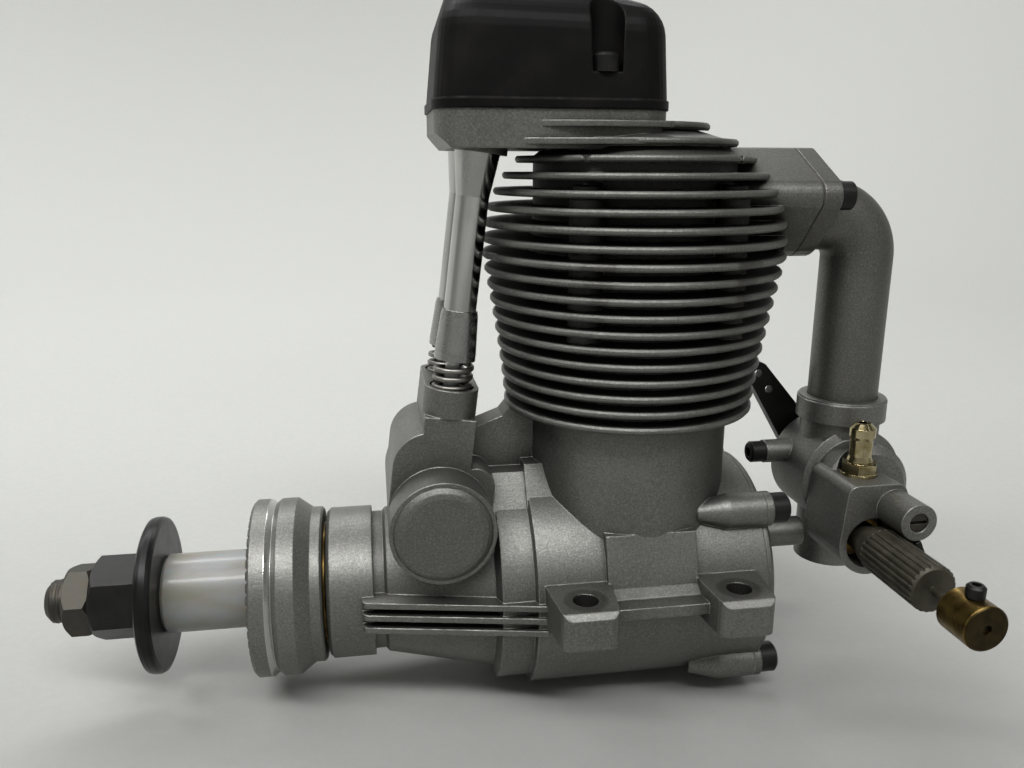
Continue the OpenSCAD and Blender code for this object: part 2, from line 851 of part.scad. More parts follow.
module flange_outline() {
    hull() {
        translate([0, port_z])
            circle(r = flange_ring_r, $fn = 32);
        translate([0, flange_top - flange_peak_r])
            circle(r = flange_peak_r, $fn = 32);
        for (k = [-1, 1])
            translate([k * pipe_screw_y, pipe_screw_z])
                circle(r = flange_lobe_r, $fn = 32);
    }
}

// Extrudes an outline drawn in Y and Z along X
module along_x(x0, x1) {
    translate([x0, 0, 0])
        rotate([90, 0, 90])
            linear_extrude(x1 - x0)
                children();
}

module cylinder_head() {
    color(cast)
        difference() {
            union() {
                difference() {
                    head_turned();
                    for (side = [-1, 1])
                        on_pushrod(side)
                            z_bar(0, box_s, flare_r + gap);
                }
                rocker_box();
                difference() {
                    along_x(10, block_x)
                        flange_outline();
                    z_bar(0, deck_z + 0.02, fin_top_r + 0.6);
                }
                y_bar(8, exhaust_out, exhaust_boss_r, 0, exhaust_z);
                translate([-rocker_x - 3.4, -pedestal_half, floor_z - eps])
                    cube([6.8, 2 * pedestal_half, rocker_z + 3.4 - floor_z + eps]);
            }
            // Combustion chamber, valves and ports
            z_bar(deck_z - eps, roof_z, chamber_head_r);
            for (side = [-1, 1]) {
                z_bar(roof_z - eps, roof_z + pocket_h, valve_head_r - 0.8, -valve_x, side * push_y);
                z_bar(roof_z, seat_z + eps, guide_r, -valve_x, side * push_y);
                z_bar(seat_z, cover_z + eps, seat_pocket_r, -valve_x, side * push_y);
                on_pushrod(side) {
                    z_bar(box_s - 2, tube_top_s + 0.05, flare_r + run);
                    z_bar(box_s - 2, box_s + 9, push_bore_r + 0.4);
                }
            }
            x_bar(block_x - port_depth, block_x + eps, port_r, 0, port_z);
            y_bar(exhaust_out - exhaust_depth, exhaust_out + eps, exhaust_r, 0, exhaust_z);
            // Rocker chamber
            translate([0, 0, floor_z])
                linear_extrude(cover_z - floor_z + eps)
                    difference() {
                        box_outline(box_wall);
                        translate([-rocker_x - 3.4, -pedestal_half])
                            square([6.8, 2 * pedestal_half]);
                    }
            y_bar(-box_w, box_w, rocker_shaft_r, -rocker_x, rocker_z);
            for (k = [-1, 1])
                z_bar(cover_z - cover_screw_l - gap, cover_z + eps, cover_screw_r,
                    -cover_screw_x, k * cover_screw_y);
            // Screws and glow plug
            for (p = bolt_places()) {
                z_bar(deck_z - eps, bolt_head_z + eps, bolt_r + run, p[0], p[1]);
                z_bar(bolt_head_z, bolt_head_z + bolt_head_l + gap, bolt_head_r + gap, p[0], p[1]);
                z_bar(bolt_head_z, cover_z, bolt_key_r, p[0], p[1]);
            }
            z_bar(roof_z - eps, plug_seat_z + eps, plug_r, plug_x);
            z_bar(plug_seat_z, cover_z, plug_well_r, plug_x);
            for (k = [-1, 1])
                x_bar(block_x - pipe_screw_l - gap, block_x + eps, pipe_screw_r - 0.1,
                    k * pipe_screw_y, pipe_screw_z);
        }
}

module head_screws() {
    color(black_steel)
        for (p = bolt_places())
            translate([p[0], p[1], 0])
                rotate([0, -90, 0]) {
                    cap_head(bolt_head_z, bolt_head_r, bolt_head_l, 1.2);
                    x_bar(deck_z - bolt_depth + 1, bolt_head_z, bolt_r - run);
                }
}

module glow_plug() {
    color(steel)
        translate([plug_x, 0, 0]) {
            z_bar(roof_z + 0.4, plug_seat_z, plug_r - run);
            translate([0, 0, plug_seat_z])
                cylinder(h = 3, r = plug_hex_af / 2 / cos(30), $fn = 6);
            z_bar(plug_seat_z + 3, plug_seat_z + 4.6, 2.4);
            z_bar(plug_seat_z + 4.6, plug_seat_z + 7, 1.2);
        }
}

// Rounded cover body, drawn in by an inset on every side
module cover_body(inset) {
    r = box_round - inset;
    x0 = -box_front + inset + r;
    x1 = box_rear - inset - r;
    half = box_w / 2 - inset - r;
    side = box_w / 2 - 0.8 - inset - shoulder_round;
    hull() {
        for (x = [x0, x1], y = [-half, half])
            translate([x, y, cover_z - inset])
                cylinder(h = 2 + inset, r = r, $fn = 32);
        for (y = [-side, side]) {
            translate([-box_front + 1 + inset + shoulder_round, y, front_shoulder_z - inset])
                sphere(r = shoulder_round, $fn = 32);
            translate([box_rear - 0.4 - inset - shoulder_round, y, rear_shoulder_z - inset])
                sphere(r = shoulder_round, $fn = 32);
        }
        for (y = [-ridge_half, ridge_half]) {
            translate([-box_front + 3 + inset + top_round, y, cover_top - inset - top_round])
                sphere(r = top_round, $fn = 32);
            translate([-cover_ridge, y, cover_top - 1 - inset - top_round])
                sphere(r = top_round, $fn = 32);
        }
    }
}

module rocker_cover() {
    color(black_plastic)
        difference() {
            union() {
                cover_body(0);
                translate([0, 0, cover_z + 0.02])
                    linear_extrude(1.5)
                        box_outline(-0.35);
            }
            difference() {
                cover_body(cover_wall);
                for (k = [-1, 1])
                    z_bar(cover_z - 2, cover_top + eps, cover_well_r + 0.5,
                        -cover_screw_x, k * cover_screw_y);
                translate([-box_front, -box_w, cover_z - 3])
                    cube([2 * box_front, 2 * box_w, 3.02]);
            }
            translate([-2 * box_front, -box_w, cover_z - 3])
                cube([4 * box_front, 2 * box_w, 3.02]);
            for (k = [-1, 1]) {
                z_bar(cover_well_z, cover_top + eps, cover_well_r, -cover_screw_x, k * cover_screw_y);
                z_bar(cover_z - eps, cover_well_z + eps, cover_screw_r + 0.15,
                    -cover_screw_x, k * cover_screw_y);
            }
        }
}

module rocker_cover_screws() {
    color(black_steel)
        for (k = [-1, 1])
            translate([-cover_screw_x, k * cover_screw_y, 0])
                rotate([0, -90, 0]) {
                    cap_head(cover_well_z, cover_head_r, cover_head_l, cover_head_r / 2);
                    x_bar(cover_z - cover_screw_l, cover_well_z, cover_screw_r - run);
                }
}

module rocker_shaft() {
    color(steel)
        y_bar(-shaft_half, shaft_half, rocker_shaft_r - 0.01, -rocker_x, rocker_z);
}

module pushrod_tubes() {
    color(machined)
        for (side = [-1, 1])
            on_pushrod(side)
                rotate_extrude()
                    polygon([[push_bore_r, tube_foot_s + 0.05], [push_tube_r, tube_foot_s + 0.05],
                        [push_tube_r, box_s - flare_l - 2], [push_tube_r + 0.3, box_s - flare_l],
                        [flare_r, box_s - 0.6], [flare_r, tube_top_s], [push_bore_r, tube_top_s]]);
}

module pushrod_sleeves() {
    top = sleeve_s + tube_sleeve_l;
    color(machined)
        for (side = [-1, 1])
            on_pushrod(side)
                rotate_extrude()
                    polygon([[push_bore_r, sleeve_s], [coil_r + coil_wire_d / 2, sleeve_s],
                        [coil_r + coil_wire_d / 2, sleeve_s + 1.4], [push_tube_r + 0.45, top - 1],
                        [push_tube_r + 0.25, top], [push_tube_r + 0.02, top],
                        [push_tube_r + 0.02, tube_foot_s], [push_bore_r, tube_foot_s]]);
}

module pushrod_springs() {
    color(machined)
        for (side = [-1, 1])
            on_pushrod(side)
                translate([0, 0, coil_s])
                    coil(coil_r, coil_wire_d, coil_pitch, coil_turns);
}

module intake_pipe() {
    color(cast)
        difference() {
            union() {
                along_x(flange_x, flange_x + flange_t)
                    flange_outline();
                x_bar(flange_x, pipe_x - bend_r, pipe_r, 0, port_z);
                elbow(pipe_r);
                z_bar(pipe_foot, port_z - bend_r, pipe_r, pipe_x);
            }
            x_bar(flange_x - eps, pipe_x - bend_r, port_r, 0, port_z);
            elbow(port_r);
            z_bar(pipe_foot - eps, port_z - bend_r, port_r, pipe_x);
            for (k = [-1, 1])
                x_bar(flange_x - eps, flange_x + flange_t + eps, pipe_screw_r + run,
                    k * pipe_screw_y, pipe_screw_z);
        }
}

module elbow(r) {
    translate([pipe_x - bend_r, 0, port_z - bend_r])
        rotate([90, 0, 0])
            rotate_extrude(angle = 90)
                translate([bend_r, 0])
                    circle(r = r);
}

module intake_pipe_screws() {
    color(black_steel)
        for (k = [-1, 1])
            translate([0, k * pipe_screw_y, pipe_screw_z]) {
                cap_head(flange_x + flange_t, pipe_head_r, pipe_head_l, 1.3);
                x_bar(block_x - pipe_screw_l, flange_x + flange_t, pipe_screw_r - 0.15);
            }
}

module intake_gasket() {
    color("#4a4a45")
        difference() {
            along_x(block_x + 0.02, flange_x - 0.02)
                flange_outline();
            x_bar(block_x - eps, flange_x + eps, port_r, 0, port_z);
            for (k = [-1, 1])
                x_bar(block_x - eps, flange_x + eps, pipe_screw_r + run, k * pipe_screw_y, pipe_screw_z);
        }
}

// Carburettor casting with its needle holder
module carburettor_body() {
    color(cast)
        difference() {
            union() {
                translate([pipe_x, 0, barrel_z])
                    y_turn([[0, carb_near], [carb_step_r - 1.4, carb_near], [carb_step_r, carb_near + 1.4],
                        [carb_step_r, carb_step_y - 0.8], [carb_r, carb_step_y],
                        [carb_r, carb_half - 0.8], [carb_r - 0.8, carb_half], [0, carb_half]]);
                z_bar(collar_low, collar_z + eps, collar_neck_r, pipe_x);
                z_bar(collar_z, collar_top - 0.4, collar_r, pipe_x);
                z_bar(collar_top - 0.45, collar_top, collar_r - 0.3, pipe_x);
                z_bar(mouth_z, barrel_z, mouth_r, pipe_x);
                needle_holder();
                y_bar(mix_near, -carb_half, mix_r, pipe_x, barrel_z);
                x_bar(stop_out, pipe_x, stop_boss_r, stop_y, stop_z);
            }
            z_bar(socket_z, collar_top + eps, pipe_r + run, pipe_x);
            z_bar(mouth_z - eps, collar_top, throat_r, pipe_x);
            y_bar(barrel_near, carb_half + eps, barrel_r + run, pipe_x, barrel_z);
            y_bar(mix_near - eps, -carb_half - 4, mix_bore, pipe_x, barrel_z);
            y_bar(holder_near - eps, -carb_half - 2, stem_bore, needle_x, needle_z);
            y_bar(holder_near - eps, recess_y, recess_r, needle_x, needle_z);
            y_bar(recess_y - eps, recess_y + 2.2, gland_r - 1, needle_x, needle_z);
            z_bar(holder_top - 4, holder_top + eps, nipple_stub_r + 0.05, needle_x, nipple_y);
            // Spot face that seats the nipple
            z_bar(holder_top, barrel_z + carb_r + eps, nipple_flange_r + gap, needle_x, nipple_y);
            x_bar(stop_out - eps, stop_out + stop_screw_l + gap, stop_screw_r + run, stop_y, stop_z);
        }
}

module needle_holder() {
    translate([0, holder_near, 0])
        rotate([-90, 0, 0])
            mirror([0, 1, 0])
                linear_extrude(-carb_half - holder_near + eps)
                    hull() {
                        translate([needle_x, needle_z])
                            circle(r = holder_r, $fn = 32);
                        for (x = [needle_x - holder_r + shelf_r + 0.8, pipe_x + 0.45])
                            translate([x, holder_top - shelf_r])
                                circle(r = shelf_r, $fn = 32);
                        translate([pipe_x, barrel_z])
                            circle(r = mix_r, $fn = 32);
                    }
}

// Barbed hose nipple standing on z = 0
module nipple() {
    translate([0, 0, 0.6])
        cylinder(h = 1.8, r = nipple_hex_af / 2 / cos(30), $fn = 6);
    rotate_extrude()
        polygon([[0, -3.4], [nipple_stub_r, -3.4], [nipple_stub_r, 0], [nipple_flange_r, 0],
            [nipple_flange_r, 0.6], [2.4, 0.6],
            [2.4, 2.9], [nipple_neck_r, 3.7], [nipple_neck_r, nipple_l - 3.2],
            [nipple_barb_r, nipple_l - 2.6], [nipple_barb_r, nipple_l - 1], [1.4, nipple_l],
            [0.9, nipple_l], [0.9, nipple_l - 4], [0, nipple_l - 4]]);
}

module fuel_nipple() {
    color(brass)
        translate([needle_x, nipple_y, holder_top])
            nipple();
}

module breather_nipple() {
    color(brass)
        translate([breather_x, breather_y, breather_z])
            rotate([-90, 0, 0])
                nipple();
}

module needle_gland() {
    color(brass)
        difference() {
            union() {
                y_bar(recess_y - gland_l, recess_y, gland_r, needle_x, needle_z);
                y_bar(recess_y, recess_y + 2, gland_r - 1.05, needle_x, needle_z);
            }
            y_bar(recess_y - gland_l - eps, recess_y + 3, stem_bore, needle_x, needle_z);
        }
}

module ratchet_spring() {
    color(black_steel)
        translate([needle_x, holder_near - ratchet_l - 0.02, needle_z])
            rotate([0, -ratchet_angle, 0])
                translate([knob_d / 2 + gap + 0.15, 0, -ratchet_w / 2])
                    cube([ratchet_t, ratchet_l, ratchet_w]);
}

module throttle_stop_screw() {
    color(black_steel)
        translate([2 * stop_out, 0, 0])
            mirror([1, 0, 0])
                translate([0, stop_y, stop_z]) {
                    cap_head(stop_out, stop_head_r, stop_head_l, stop_head_r / 2);
                    x_bar(stop_out - stop_screw_l, stop_out, stop_screw_r);
                }
}

module valve_guides() {
    color(brass)
        for (side = [-1, 1])
            translate([-valve_x, side * push_y, 0])
                difference() {
                    z_bar(roof_z + pocket_h + 0.02, guide_top, guide_r - 0.01);
                    z_bar(roof_z, guide_top + eps, stem_r + run);
                }
}

module valve_spring(side) {
    color(steel)
        translate([-valve_x, side * push_y, valve_coil_z])
            coil(valve_coil_r, valve_wire_d, valve_coil_pitch, valve_coil_turns);
}

module intake_valve_spring() {
    valve_spring(-1);
}

module exhaust_valve_spring() {
    valve_spring(1);
}

// Crankshaft at bottom dead centre
module crankshaft() {
    color(steel) {
        x_turn([[0, -shaft_tip], [thread_r - 1, -shaft_tip], [thread_r, 1 - shaft_tip],
            [thread_r, lock_rear - lock_l - gap], [thread_core_r, lock_rear - lock_l - gap],
            [thread_core_r, nut_rear], [thread_r, nut_rear], [thread_r, drive_front - 2],
            [front_journal_r, drive_front + 1], [front_journal_r, bearing_front + front_bearing_l + 0.4],
            [journal_r - 1, bearing_front + front_bearing_l + 1.4], [journal_r - 1, -cam_x - gear_half],
            [gear_r - 2.1, -cam_x - gear_half], [gear_r - 2.1, -cam_x + gear_half],
            [journal_r, -cam_x + gear_half], [journal_r, web_front], [0, web_front]]);
        translate([-cam_x - gear_half, 0, 0])
            rotate([0, 90, 0])
                gear_blank(gear_r, gear_teeth, 2 * gear_half);
        along_x(web_front, web_rear)
            intersection() {
                circle(r = weight_r);
                union() {
                    translate([-weight_r, 1])
                        square([2 * weight_r, weight_r]);
                    translate([-pin_r - 4, -weight_r])
                        square([2 * pin_r + 8, weight_r + 2]);
                }
            }
        x_bar(web_front, -rod_half - gap, pin_r, 0, -throw);
    }
}

module drive_washer() {
    groove = drive_front + 4.2;
    hub_r = drive_r - 2;
    color(cast)
        difference() {
            x_turn([[drive_bore, drive_front], [drive_r - 0.6, drive_front], [drive_r, drive_front + 0.6],
                [drive_r, groove - 1], [drive_r - 0.8, groove], [drive_r, groove + 1], [drive_r, groove + 4],
                [hub_r, groove + 6.7], [hub_r, drive_rear - 0.4], [hub_r - 0.4, drive_rear],
                [drive_bore, drive_rear]]);
            x_bar(drive_front - eps, drive_front + sleeve_seat, sleeve_d / 2 + gap);
            for (i = [0:serrations - 1])
                rotate([360 * i / serrations, 0, 0])
                    translate([drive_front, 0, drive_r])
                        rotate([0, 0, 45])
                            cube([serration, serration, 2 * (drive_r - sleeve_d / 2 - 2)], center = true);
        }
}

module taper_collet() {
    color(brass)
        difference() {
            x_bar(drive_front + 1.2, drive_rear, collet_r);
            x_bar(drive_front, drive_rear + eps, front_journal_r + 0.01);
            translate([drive_front, -0.4, 0])
                cube([2 * drive_l, 0.8, 2 * collet_r]);
        }
}

module thrust_washer() {
    color(brass)
        difference() {
            x_bar(drive_rear + 0.02, drive_rear + thrust_t, drive_r - 5);
            x_bar(drive_rear - eps, drive_rear + 2, front_journal_r + 0.02);
        }
}

module spacer_sleeve() {
    r = sleeve_d / 2;
    rear = drive_front + sleeve_seat - 0.02;
    color("#e9ebee")
        difference() {
            x_turn([[sleeve_bore_r, washer_rear + 0.02], [r - 0.5, washer_rear + 0.02],
                [r, washer_rear + 0.6], [r, rear - 0.6], [r - 0.5, rear], [sleeve_bore_r, rear]]);
            x_bar(drive_front - 4, drive_front + eps, front_journal_r + 0.2);
        }
}

module prop_washer() {
    r = washer_d / 2;
    color(black_steel)
        x_turn([[thread_r + 0.1, nut_rear], [r - 0.9, nut_rear], [r - 0.2, nut_rear + 0.4],
            [r, nut_rear + 1.1], [r, washer_rear - 0.8], [r - 0.3, washer_rear - 0.2],
            [r - 0.9, washer_rear], [thread_r + 0.1, washer_rear]]);
}

// Hexagon nut with turned corners
module hex_nut(front, rear, af, turn) {
    corner_r = af / 2 / cos(30);
    difference() {
        intersection() {
            x_hex(front, rear, af, turn);
            x_turn([[0, front], [af / 2, front], [corner_r + 0.1, front + 1], [corner_r + 0.1, rear - 1],
                [af / 2, rear], [0, rear]]);
        }
        x_bar(front - eps, rear + eps, thread_core_r + 0.02);
    }
}

module prop_nut() {
    color(black_steel)
        hex_nut(lock_rear, nut_rear - 0.02, prop_nut_af, 48);
}

module lock_nut() {
    color(steel)
        hex_nut(lock_rear - lock_l, lock_rear - 0.02, lock_nut_af, 17);
}

// Camshaft with one lobe for each tappet
module camshaft() {
    color(steel) {
        y_bar(-cam_bearing_end + 0.3, cam_bearing_end - 0.3, cam_r, -cam_x, cam_z);
        for (side = [-1, 1])
            translate([-cam_x, side * push_y, cam_z])
                rotate([90, 90 + 55 * side, 0])
                    linear_extrude(2 * lobe_half, center = true) {
                        circle(r = lobe_base_r);
                        translate([lobe_tip - 2, 0])
                            circle(r = 2);
                        polygon([[0, -lobe_base_r], [lobe_tip - 1.6, -1.9], [lobe_tip - 1.6, 1.9],
                            [0, lobe_base_r]]);
                    }
    }
}

module cam_gear() {
    color(steel)
        difference() {
            translate([-cam_x, pedestal_half, cam_z])
                rotate([90, 0, 0])
                    gear_blank(gear_r, 2 * gear_teeth, 2 * pedestal_half);
            y_bar(-drum_half, drum_half, cam_r + 0.01, -cam_x, cam_z);
        }
}

// Piston at bottom dead centre
module piston() {
    r = bore_d / 2 - run;
    color(machined)
        difference() {
            union() {
                difference() {
                    z_bar(skirt_z, crown_z, r);
                    z_bar(skirt_z - eps, crown_z - 4, r - 2);
                }
                intersection() {
                    z_bar(skirt_z, crown_z, r);
                    for (k = [-1, 1])
                        translate([k > 0 ? rod_half + 1 : -r, -4.6, wrist_z - 4.6])
                            cube([r - rod_half - 1, 9.2, crown_z - wrist_z + 2]);
                }
            }
            difference() {
                z_bar(crown_z - 2.9, crown_z - 1.7, r + eps);
                z_bar(crown_z - 4, crown_z, r - 1.4);
            }
            x_bar(-r - eps, r + eps, wrist_r, 0, wrist_z);
        }
}

module piston_ring() {
    r = bore_d / 2 - run;
    color(steel)
        difference() {
            z_bar(crown_z - 2.88, crown_z - 1.72, r + 0.02);
            z_bar(crown_z - 4, crown_z, r - 1.3);
        }
}

module wrist_pin() {
    half = bore_d / 2 - 2;
    color(steel)
        difference() {
            x_bar(-half, half, wrist_r - 0.01, 0, wrist_z);
            x_bar(-half - eps, half + eps, wrist_r - 1.4, 0, wrist_z);
        }
}

module connecting_rod() {
    color(machined)
        difference() {
            along_x(-rod_half, rod_half) {
                translate([0, wrist_z])
                    circle(r = small_end_r);
                translate([0, -throw])
                    circle(r = big_end_r);
                polygon([[-3.6, -throw], [3.6, -throw], [2.7, wrist_z], [-2.7, wrist_z]]);
            }
            x_bar(-rod_half - eps, rod_half + eps, wrist_r, 0, wrist_z);
            x_bar(-rod_half - eps, rod_half + eps, big_end_bore, 0, -throw);
            for (k = [-1, 1])
                translate([k * (rod_half + 0.4), 0, 0])
                    along_x(-1.4, 1.4)
                        polygon([[-1.9, -throw + big_end_r + 2], [1.9, -throw + big_end_r + 2],
                            [1.4, wrist_z - small_end_r - 2], [-1.4, wrist_z - small_end_r - 2]]);
        }
}

// Valve train, one set a side
module tappet(side) {
    color(steel)
        on_pushrod(side)
            difference() {
                z_bar(tappet_s, tappet_s + tappet_l, tappet_r);
                z_bar(tappet_s + tappet_l - 2, tappet_s + tappet_l + eps, push_r + 0.02);
            }
}

module pushrod(side) {
    color(steel)
        on_pushrod(side)
            rotate_extrude()
                polygon([[0, tappet_s + tappet_l - 1.98], [push_r, tappet_s + tappet_l - 1.98],
                    [push_r, push_end_s - 0.6], [push_r - 0.6, push_end_s], [0, push_end_s]]);
}

module rocker(side) {
    color(steel)
        translate([-rocker_x, side * push_y, rocker_z])
            difference() {
                union() {
                    rotate([90, 0, 0]) {
                        linear_extrude(2 * rocker_half, center = true)
                            circle(r = 4);
                        linear_extrude(2 * rocker_half - 1, center = true) {
                            polygon([[0, 3.6], [valve_arm, tip_r - 0.6], [valve_arm, -tip_r - 0.2],
                                [0, -2.6]]);
                            translate([valve_arm, -0.4])
                                circle(r = tip_r);
                            polygon([[0, 3.8], [-push_arm - 2.2, 3.2], [-push_arm - 2.2, -0.8], [0, -2.4]]);
                        }
                    }
                    translate([-push_arm, 0, push_top_z - rocker_z])
                        cylinder(h = adjuster_l, r = adjuster_r);
                    translate([-push_arm, 0, 3.2])
                        cylinder(h = 1.6, r = 2.6, $fn = 6);
                }
                y_bar(-box_w, box_w, rocker_shaft_r + run);
            }
}

module valve(side) {
    color(steel)
        translate([-valve_x, side * push_y, 0])
            rotate_extrude()
                polygon([[0, valve_z], [valve_head_r, valve_z], [valve_head_r, valve_z + valve_head_t - 0.2],
                    [valve_head_r - 1.2, valve_z + valve_head_t], [stem_r + 0.4, valve_z + valve_head_t + 2],
                    [stem_r, valve_z + valve_head_t + 3], [stem_r, stem_top], [0, stem_top]]);
}

module retainer(side) {
    color(steel)
        translate([-valve_x, side * push_y, 0])
            difference() {
                z_bar(retainer_z, retainer_z + retainer_t, retainer_r);
                z_bar(retainer_z - eps, retainer_z + 4, stem_r + 0.01);
            }
}

module intake_tappet() {
    tappet(-1);
}

module intake_pushrod() {
    pushrod(-1);
}

module intake_rocker() {
    rocker(-1);
}

module intake_valve() {
    valve(-1);
}

module intake_retainer() {
    retainer(-1);
}

module exhaust_tappet() {
    tappet(1);
}

module exhaust_pushrod() {
    pushrod(1);
}

module exhaust_rocker() {
    rocker(1);
}

module exhaust_valve() {
    valve(1);
}

module exhaust_retainer() {
    retainer(1);
}

// Throttle
module throttle_barrel() {
    color(machined)
        difference() {
            union() {
                y_bar(barrel_near + gap, carb_half, barrel_r, pipe_x, barrel_z);
                y_bar(carb_half, lever_y + lever_t + 1.2, spindle_r, pipe_x, barrel_z);
            }
            z_bar(mouth_z, collar_top, throat_r, pipe_x);
        }
}

module throttle_lever() {
    tip = [lever_len * cos(lever_angle), lever_len * sin(lever_angle)];
    side = [-sin(lever_angle), cos(lever_angle)];
    color(black_plastic)
        translate([pipe_x, lever_y + lever_t, barrel_z])
            rotate([90, 0, 0])
                difference() {
                    union() {
                        cylinder(h = lever_t + 1.6, r = 5);
                        linear_extrude(lever_t) {
                            polygon([4.4 * side, tip + 2.4 * side, tip - 2.4 * side, -4.4 * side]);
                            translate(tip)
                                circle(r = 2.4);
                        }
                    }
                    translate([0, 0, -eps])
                        cylinder(h = 2 * lever_t, r = spindle_r + 0.01);
                    for (d = [0, 4.5])
                        translate([tip[0] - d * cos(lever_angle), tip[1] - d * sin(lever_angle), -eps])
                            cylinder(h = 2 * lever_t, r = lever_hole_r);
                }
}

// Needle group
module needle_valve() {
    color("#4b463e")
        difference() {
            union() {
                y_bar(knob_far, recess_y + 4, stem_bore - run, needle_x, needle_z);
                y_bar(knob_far, recess_y - gland_l - gap, thimble_r, needle_x, needle_z);
                translate([needle_x, 0, needle_z])
                    y_turn([[0, knob_near], [knob_d / 2 - 0.5, knob_near], [knob_d / 2, knob_near + 0.5],
                        [knob_d / 2, knob_far - 2.4], [knob_d / 2 - 0.5, knob_far - 1.8],
                        [knob_d / 2 - 0.5, knob_far], [0, knob_far]]);
                y_bar(collar_near + 0.8, knob_near + eps, rod_r, needle_x, needle_z);
            }
            for (i = [0:23])
                translate([needle_x, knob_near, needle_z])
                    rotate([0, 15 * i, 0])
                        translate([knob_d / 2 + 0.12, -eps, 0])
                            rotate([-90, 0, 0])
                                cylinder(h = knob_far - knob_near - 2, r = 0.35);
        }
}

module needle_collar() {
    color(brass)
        difference() {
            translate([needle_x, 0, needle_z])
                y_turn([[rod_r + 0.01, collar_near], [needle_collar_r - 0.3, collar_near],
                    [needle_collar_r, collar_near + 0.3], [needle_collar_r, collar_far - 0.3],
                    [needle_collar_r - 0.3, collar_far], [rod_r + 0.01, collar_far]]);
            z_bar(needle_z, needle_z + 5, 1.05, needle_x, (collar_near + collar_far) / 2);
        }
}

module collar_screw() {
    color(black_steel)
        translate([needle_x, (collar_near + collar_far) / 2, 0])
            rotate([0, -90, 0]) {
                cap_head(needle_z + needle_collar_r + 0.02, 1.5, 2, 0.8);
                x_bar(needle_z + rod_r + 0.4, needle_z + needle_collar_r + 0.1, 1);
            }
}

module mixture_screw() {
    color(steel)
        difference() {
            y_bar(mix_near + 0.3, -carb_half - 4.4, mix_bore - run, pipe_x, barrel_z);
            translate([pipe_x, mix_near, barrel_z])
                cube([5, 2, 0.6], center = true);
        }
}

crankcase();
rear_cover();
rear_cover_screws();
cam_covers();
front_bearing();
rear_bearing();
cam_bearings();
cylinder_liner();
cylinder_head();
head_screws();
glow_plug();
rocker_cover();
rocker_cover_screws();
rocker_shaft();
pushrod_tubes();
pushrod_sleeves();
pushrod_springs();
intake_pipe();
intake_pipe_screws();
intake_gasket();
carburettor_body();
fuel_nipple();
needle_gland();
ratchet_spring();
throttle_stop_screw();
breather_nipple();
valve_guides();
intake_valve_spring();
exhaust_valve_spring();
crankshaft();
drive_washer();
taper_collet();
thrust_washer();
spacer_sleeve();
prop_washer();
prop_nut();
lock_nut();
camshaft();
cam_gear();
piston();
piston_ring();
wrist_pin();
connecting_rod();
intake_tappet();
intake_pushrod();
intake_rocker();
intake_valve();
intake_retainer();
exhaust_tappet();
exhaust_pushrod();
exhaust_rocker();
exhaust_valve();
exhaust_retainer();
throttle_barrel();
throttle_lever();
needle_valve();
needle_collar();
collar_screw();
mixture_screw();
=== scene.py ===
import json
import math

import bmesh
import bpy
from mathutils import Matrix, Vector


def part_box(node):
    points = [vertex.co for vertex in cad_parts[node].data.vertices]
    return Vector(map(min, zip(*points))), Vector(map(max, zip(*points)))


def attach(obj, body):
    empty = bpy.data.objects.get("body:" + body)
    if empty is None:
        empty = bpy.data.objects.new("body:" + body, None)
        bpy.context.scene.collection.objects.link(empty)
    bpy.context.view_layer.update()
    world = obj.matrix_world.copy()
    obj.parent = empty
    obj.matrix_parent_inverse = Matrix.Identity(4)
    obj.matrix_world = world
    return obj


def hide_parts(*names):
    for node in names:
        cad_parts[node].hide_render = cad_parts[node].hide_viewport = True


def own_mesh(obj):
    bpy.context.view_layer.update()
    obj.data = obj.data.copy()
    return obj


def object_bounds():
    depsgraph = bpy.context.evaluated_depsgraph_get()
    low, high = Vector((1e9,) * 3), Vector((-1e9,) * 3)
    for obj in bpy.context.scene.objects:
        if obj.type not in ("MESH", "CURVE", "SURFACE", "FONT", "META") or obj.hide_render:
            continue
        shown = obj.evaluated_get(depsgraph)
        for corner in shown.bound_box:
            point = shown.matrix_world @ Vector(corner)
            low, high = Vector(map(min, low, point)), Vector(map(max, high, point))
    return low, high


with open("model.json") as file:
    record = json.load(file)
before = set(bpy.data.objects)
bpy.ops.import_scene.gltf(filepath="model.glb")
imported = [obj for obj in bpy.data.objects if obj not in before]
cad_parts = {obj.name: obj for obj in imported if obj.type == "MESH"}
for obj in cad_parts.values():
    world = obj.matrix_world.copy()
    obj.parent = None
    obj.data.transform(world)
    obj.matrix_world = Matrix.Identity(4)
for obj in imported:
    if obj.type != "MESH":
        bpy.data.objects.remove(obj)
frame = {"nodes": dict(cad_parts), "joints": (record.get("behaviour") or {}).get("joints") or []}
cad_low, cad_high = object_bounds()
MM = 0.001
BLUR = 0.2  # millimetres over which one finish passes into the next


class Value:
    """A socket of a finish: arithmetic on it adds Math nodes to that finish."""

    def __init__(self, finish, socket):
        self.finish = finish
        self.socket = socket

    def __add__(self, other):
        return self.finish.math("ADD", self, other)

    def __radd__(self, other):
        return self.finish.math("ADD", other, self)

    def __sub__(self, other):
        return self.finish.math("SUBTRACT", self, other)

    def __rsub__(self, other):
        return self.finish.math("SUBTRACT", other, self)

    def __mul__(self, other):
        return self.finish.math("MULTIPLY", self, other)

    def __rmul__(self, other):
        return self.finish.math("MULTIPLY", other, self)

    def __pow__(self, other):
        return self.finish.math("POWER", self, other)

    def __rpow__(self, other):
        return self.finish.math("POWER", other, self)

    def __abs__(self):
        return self.finish.math("ABSOLUTE", self)


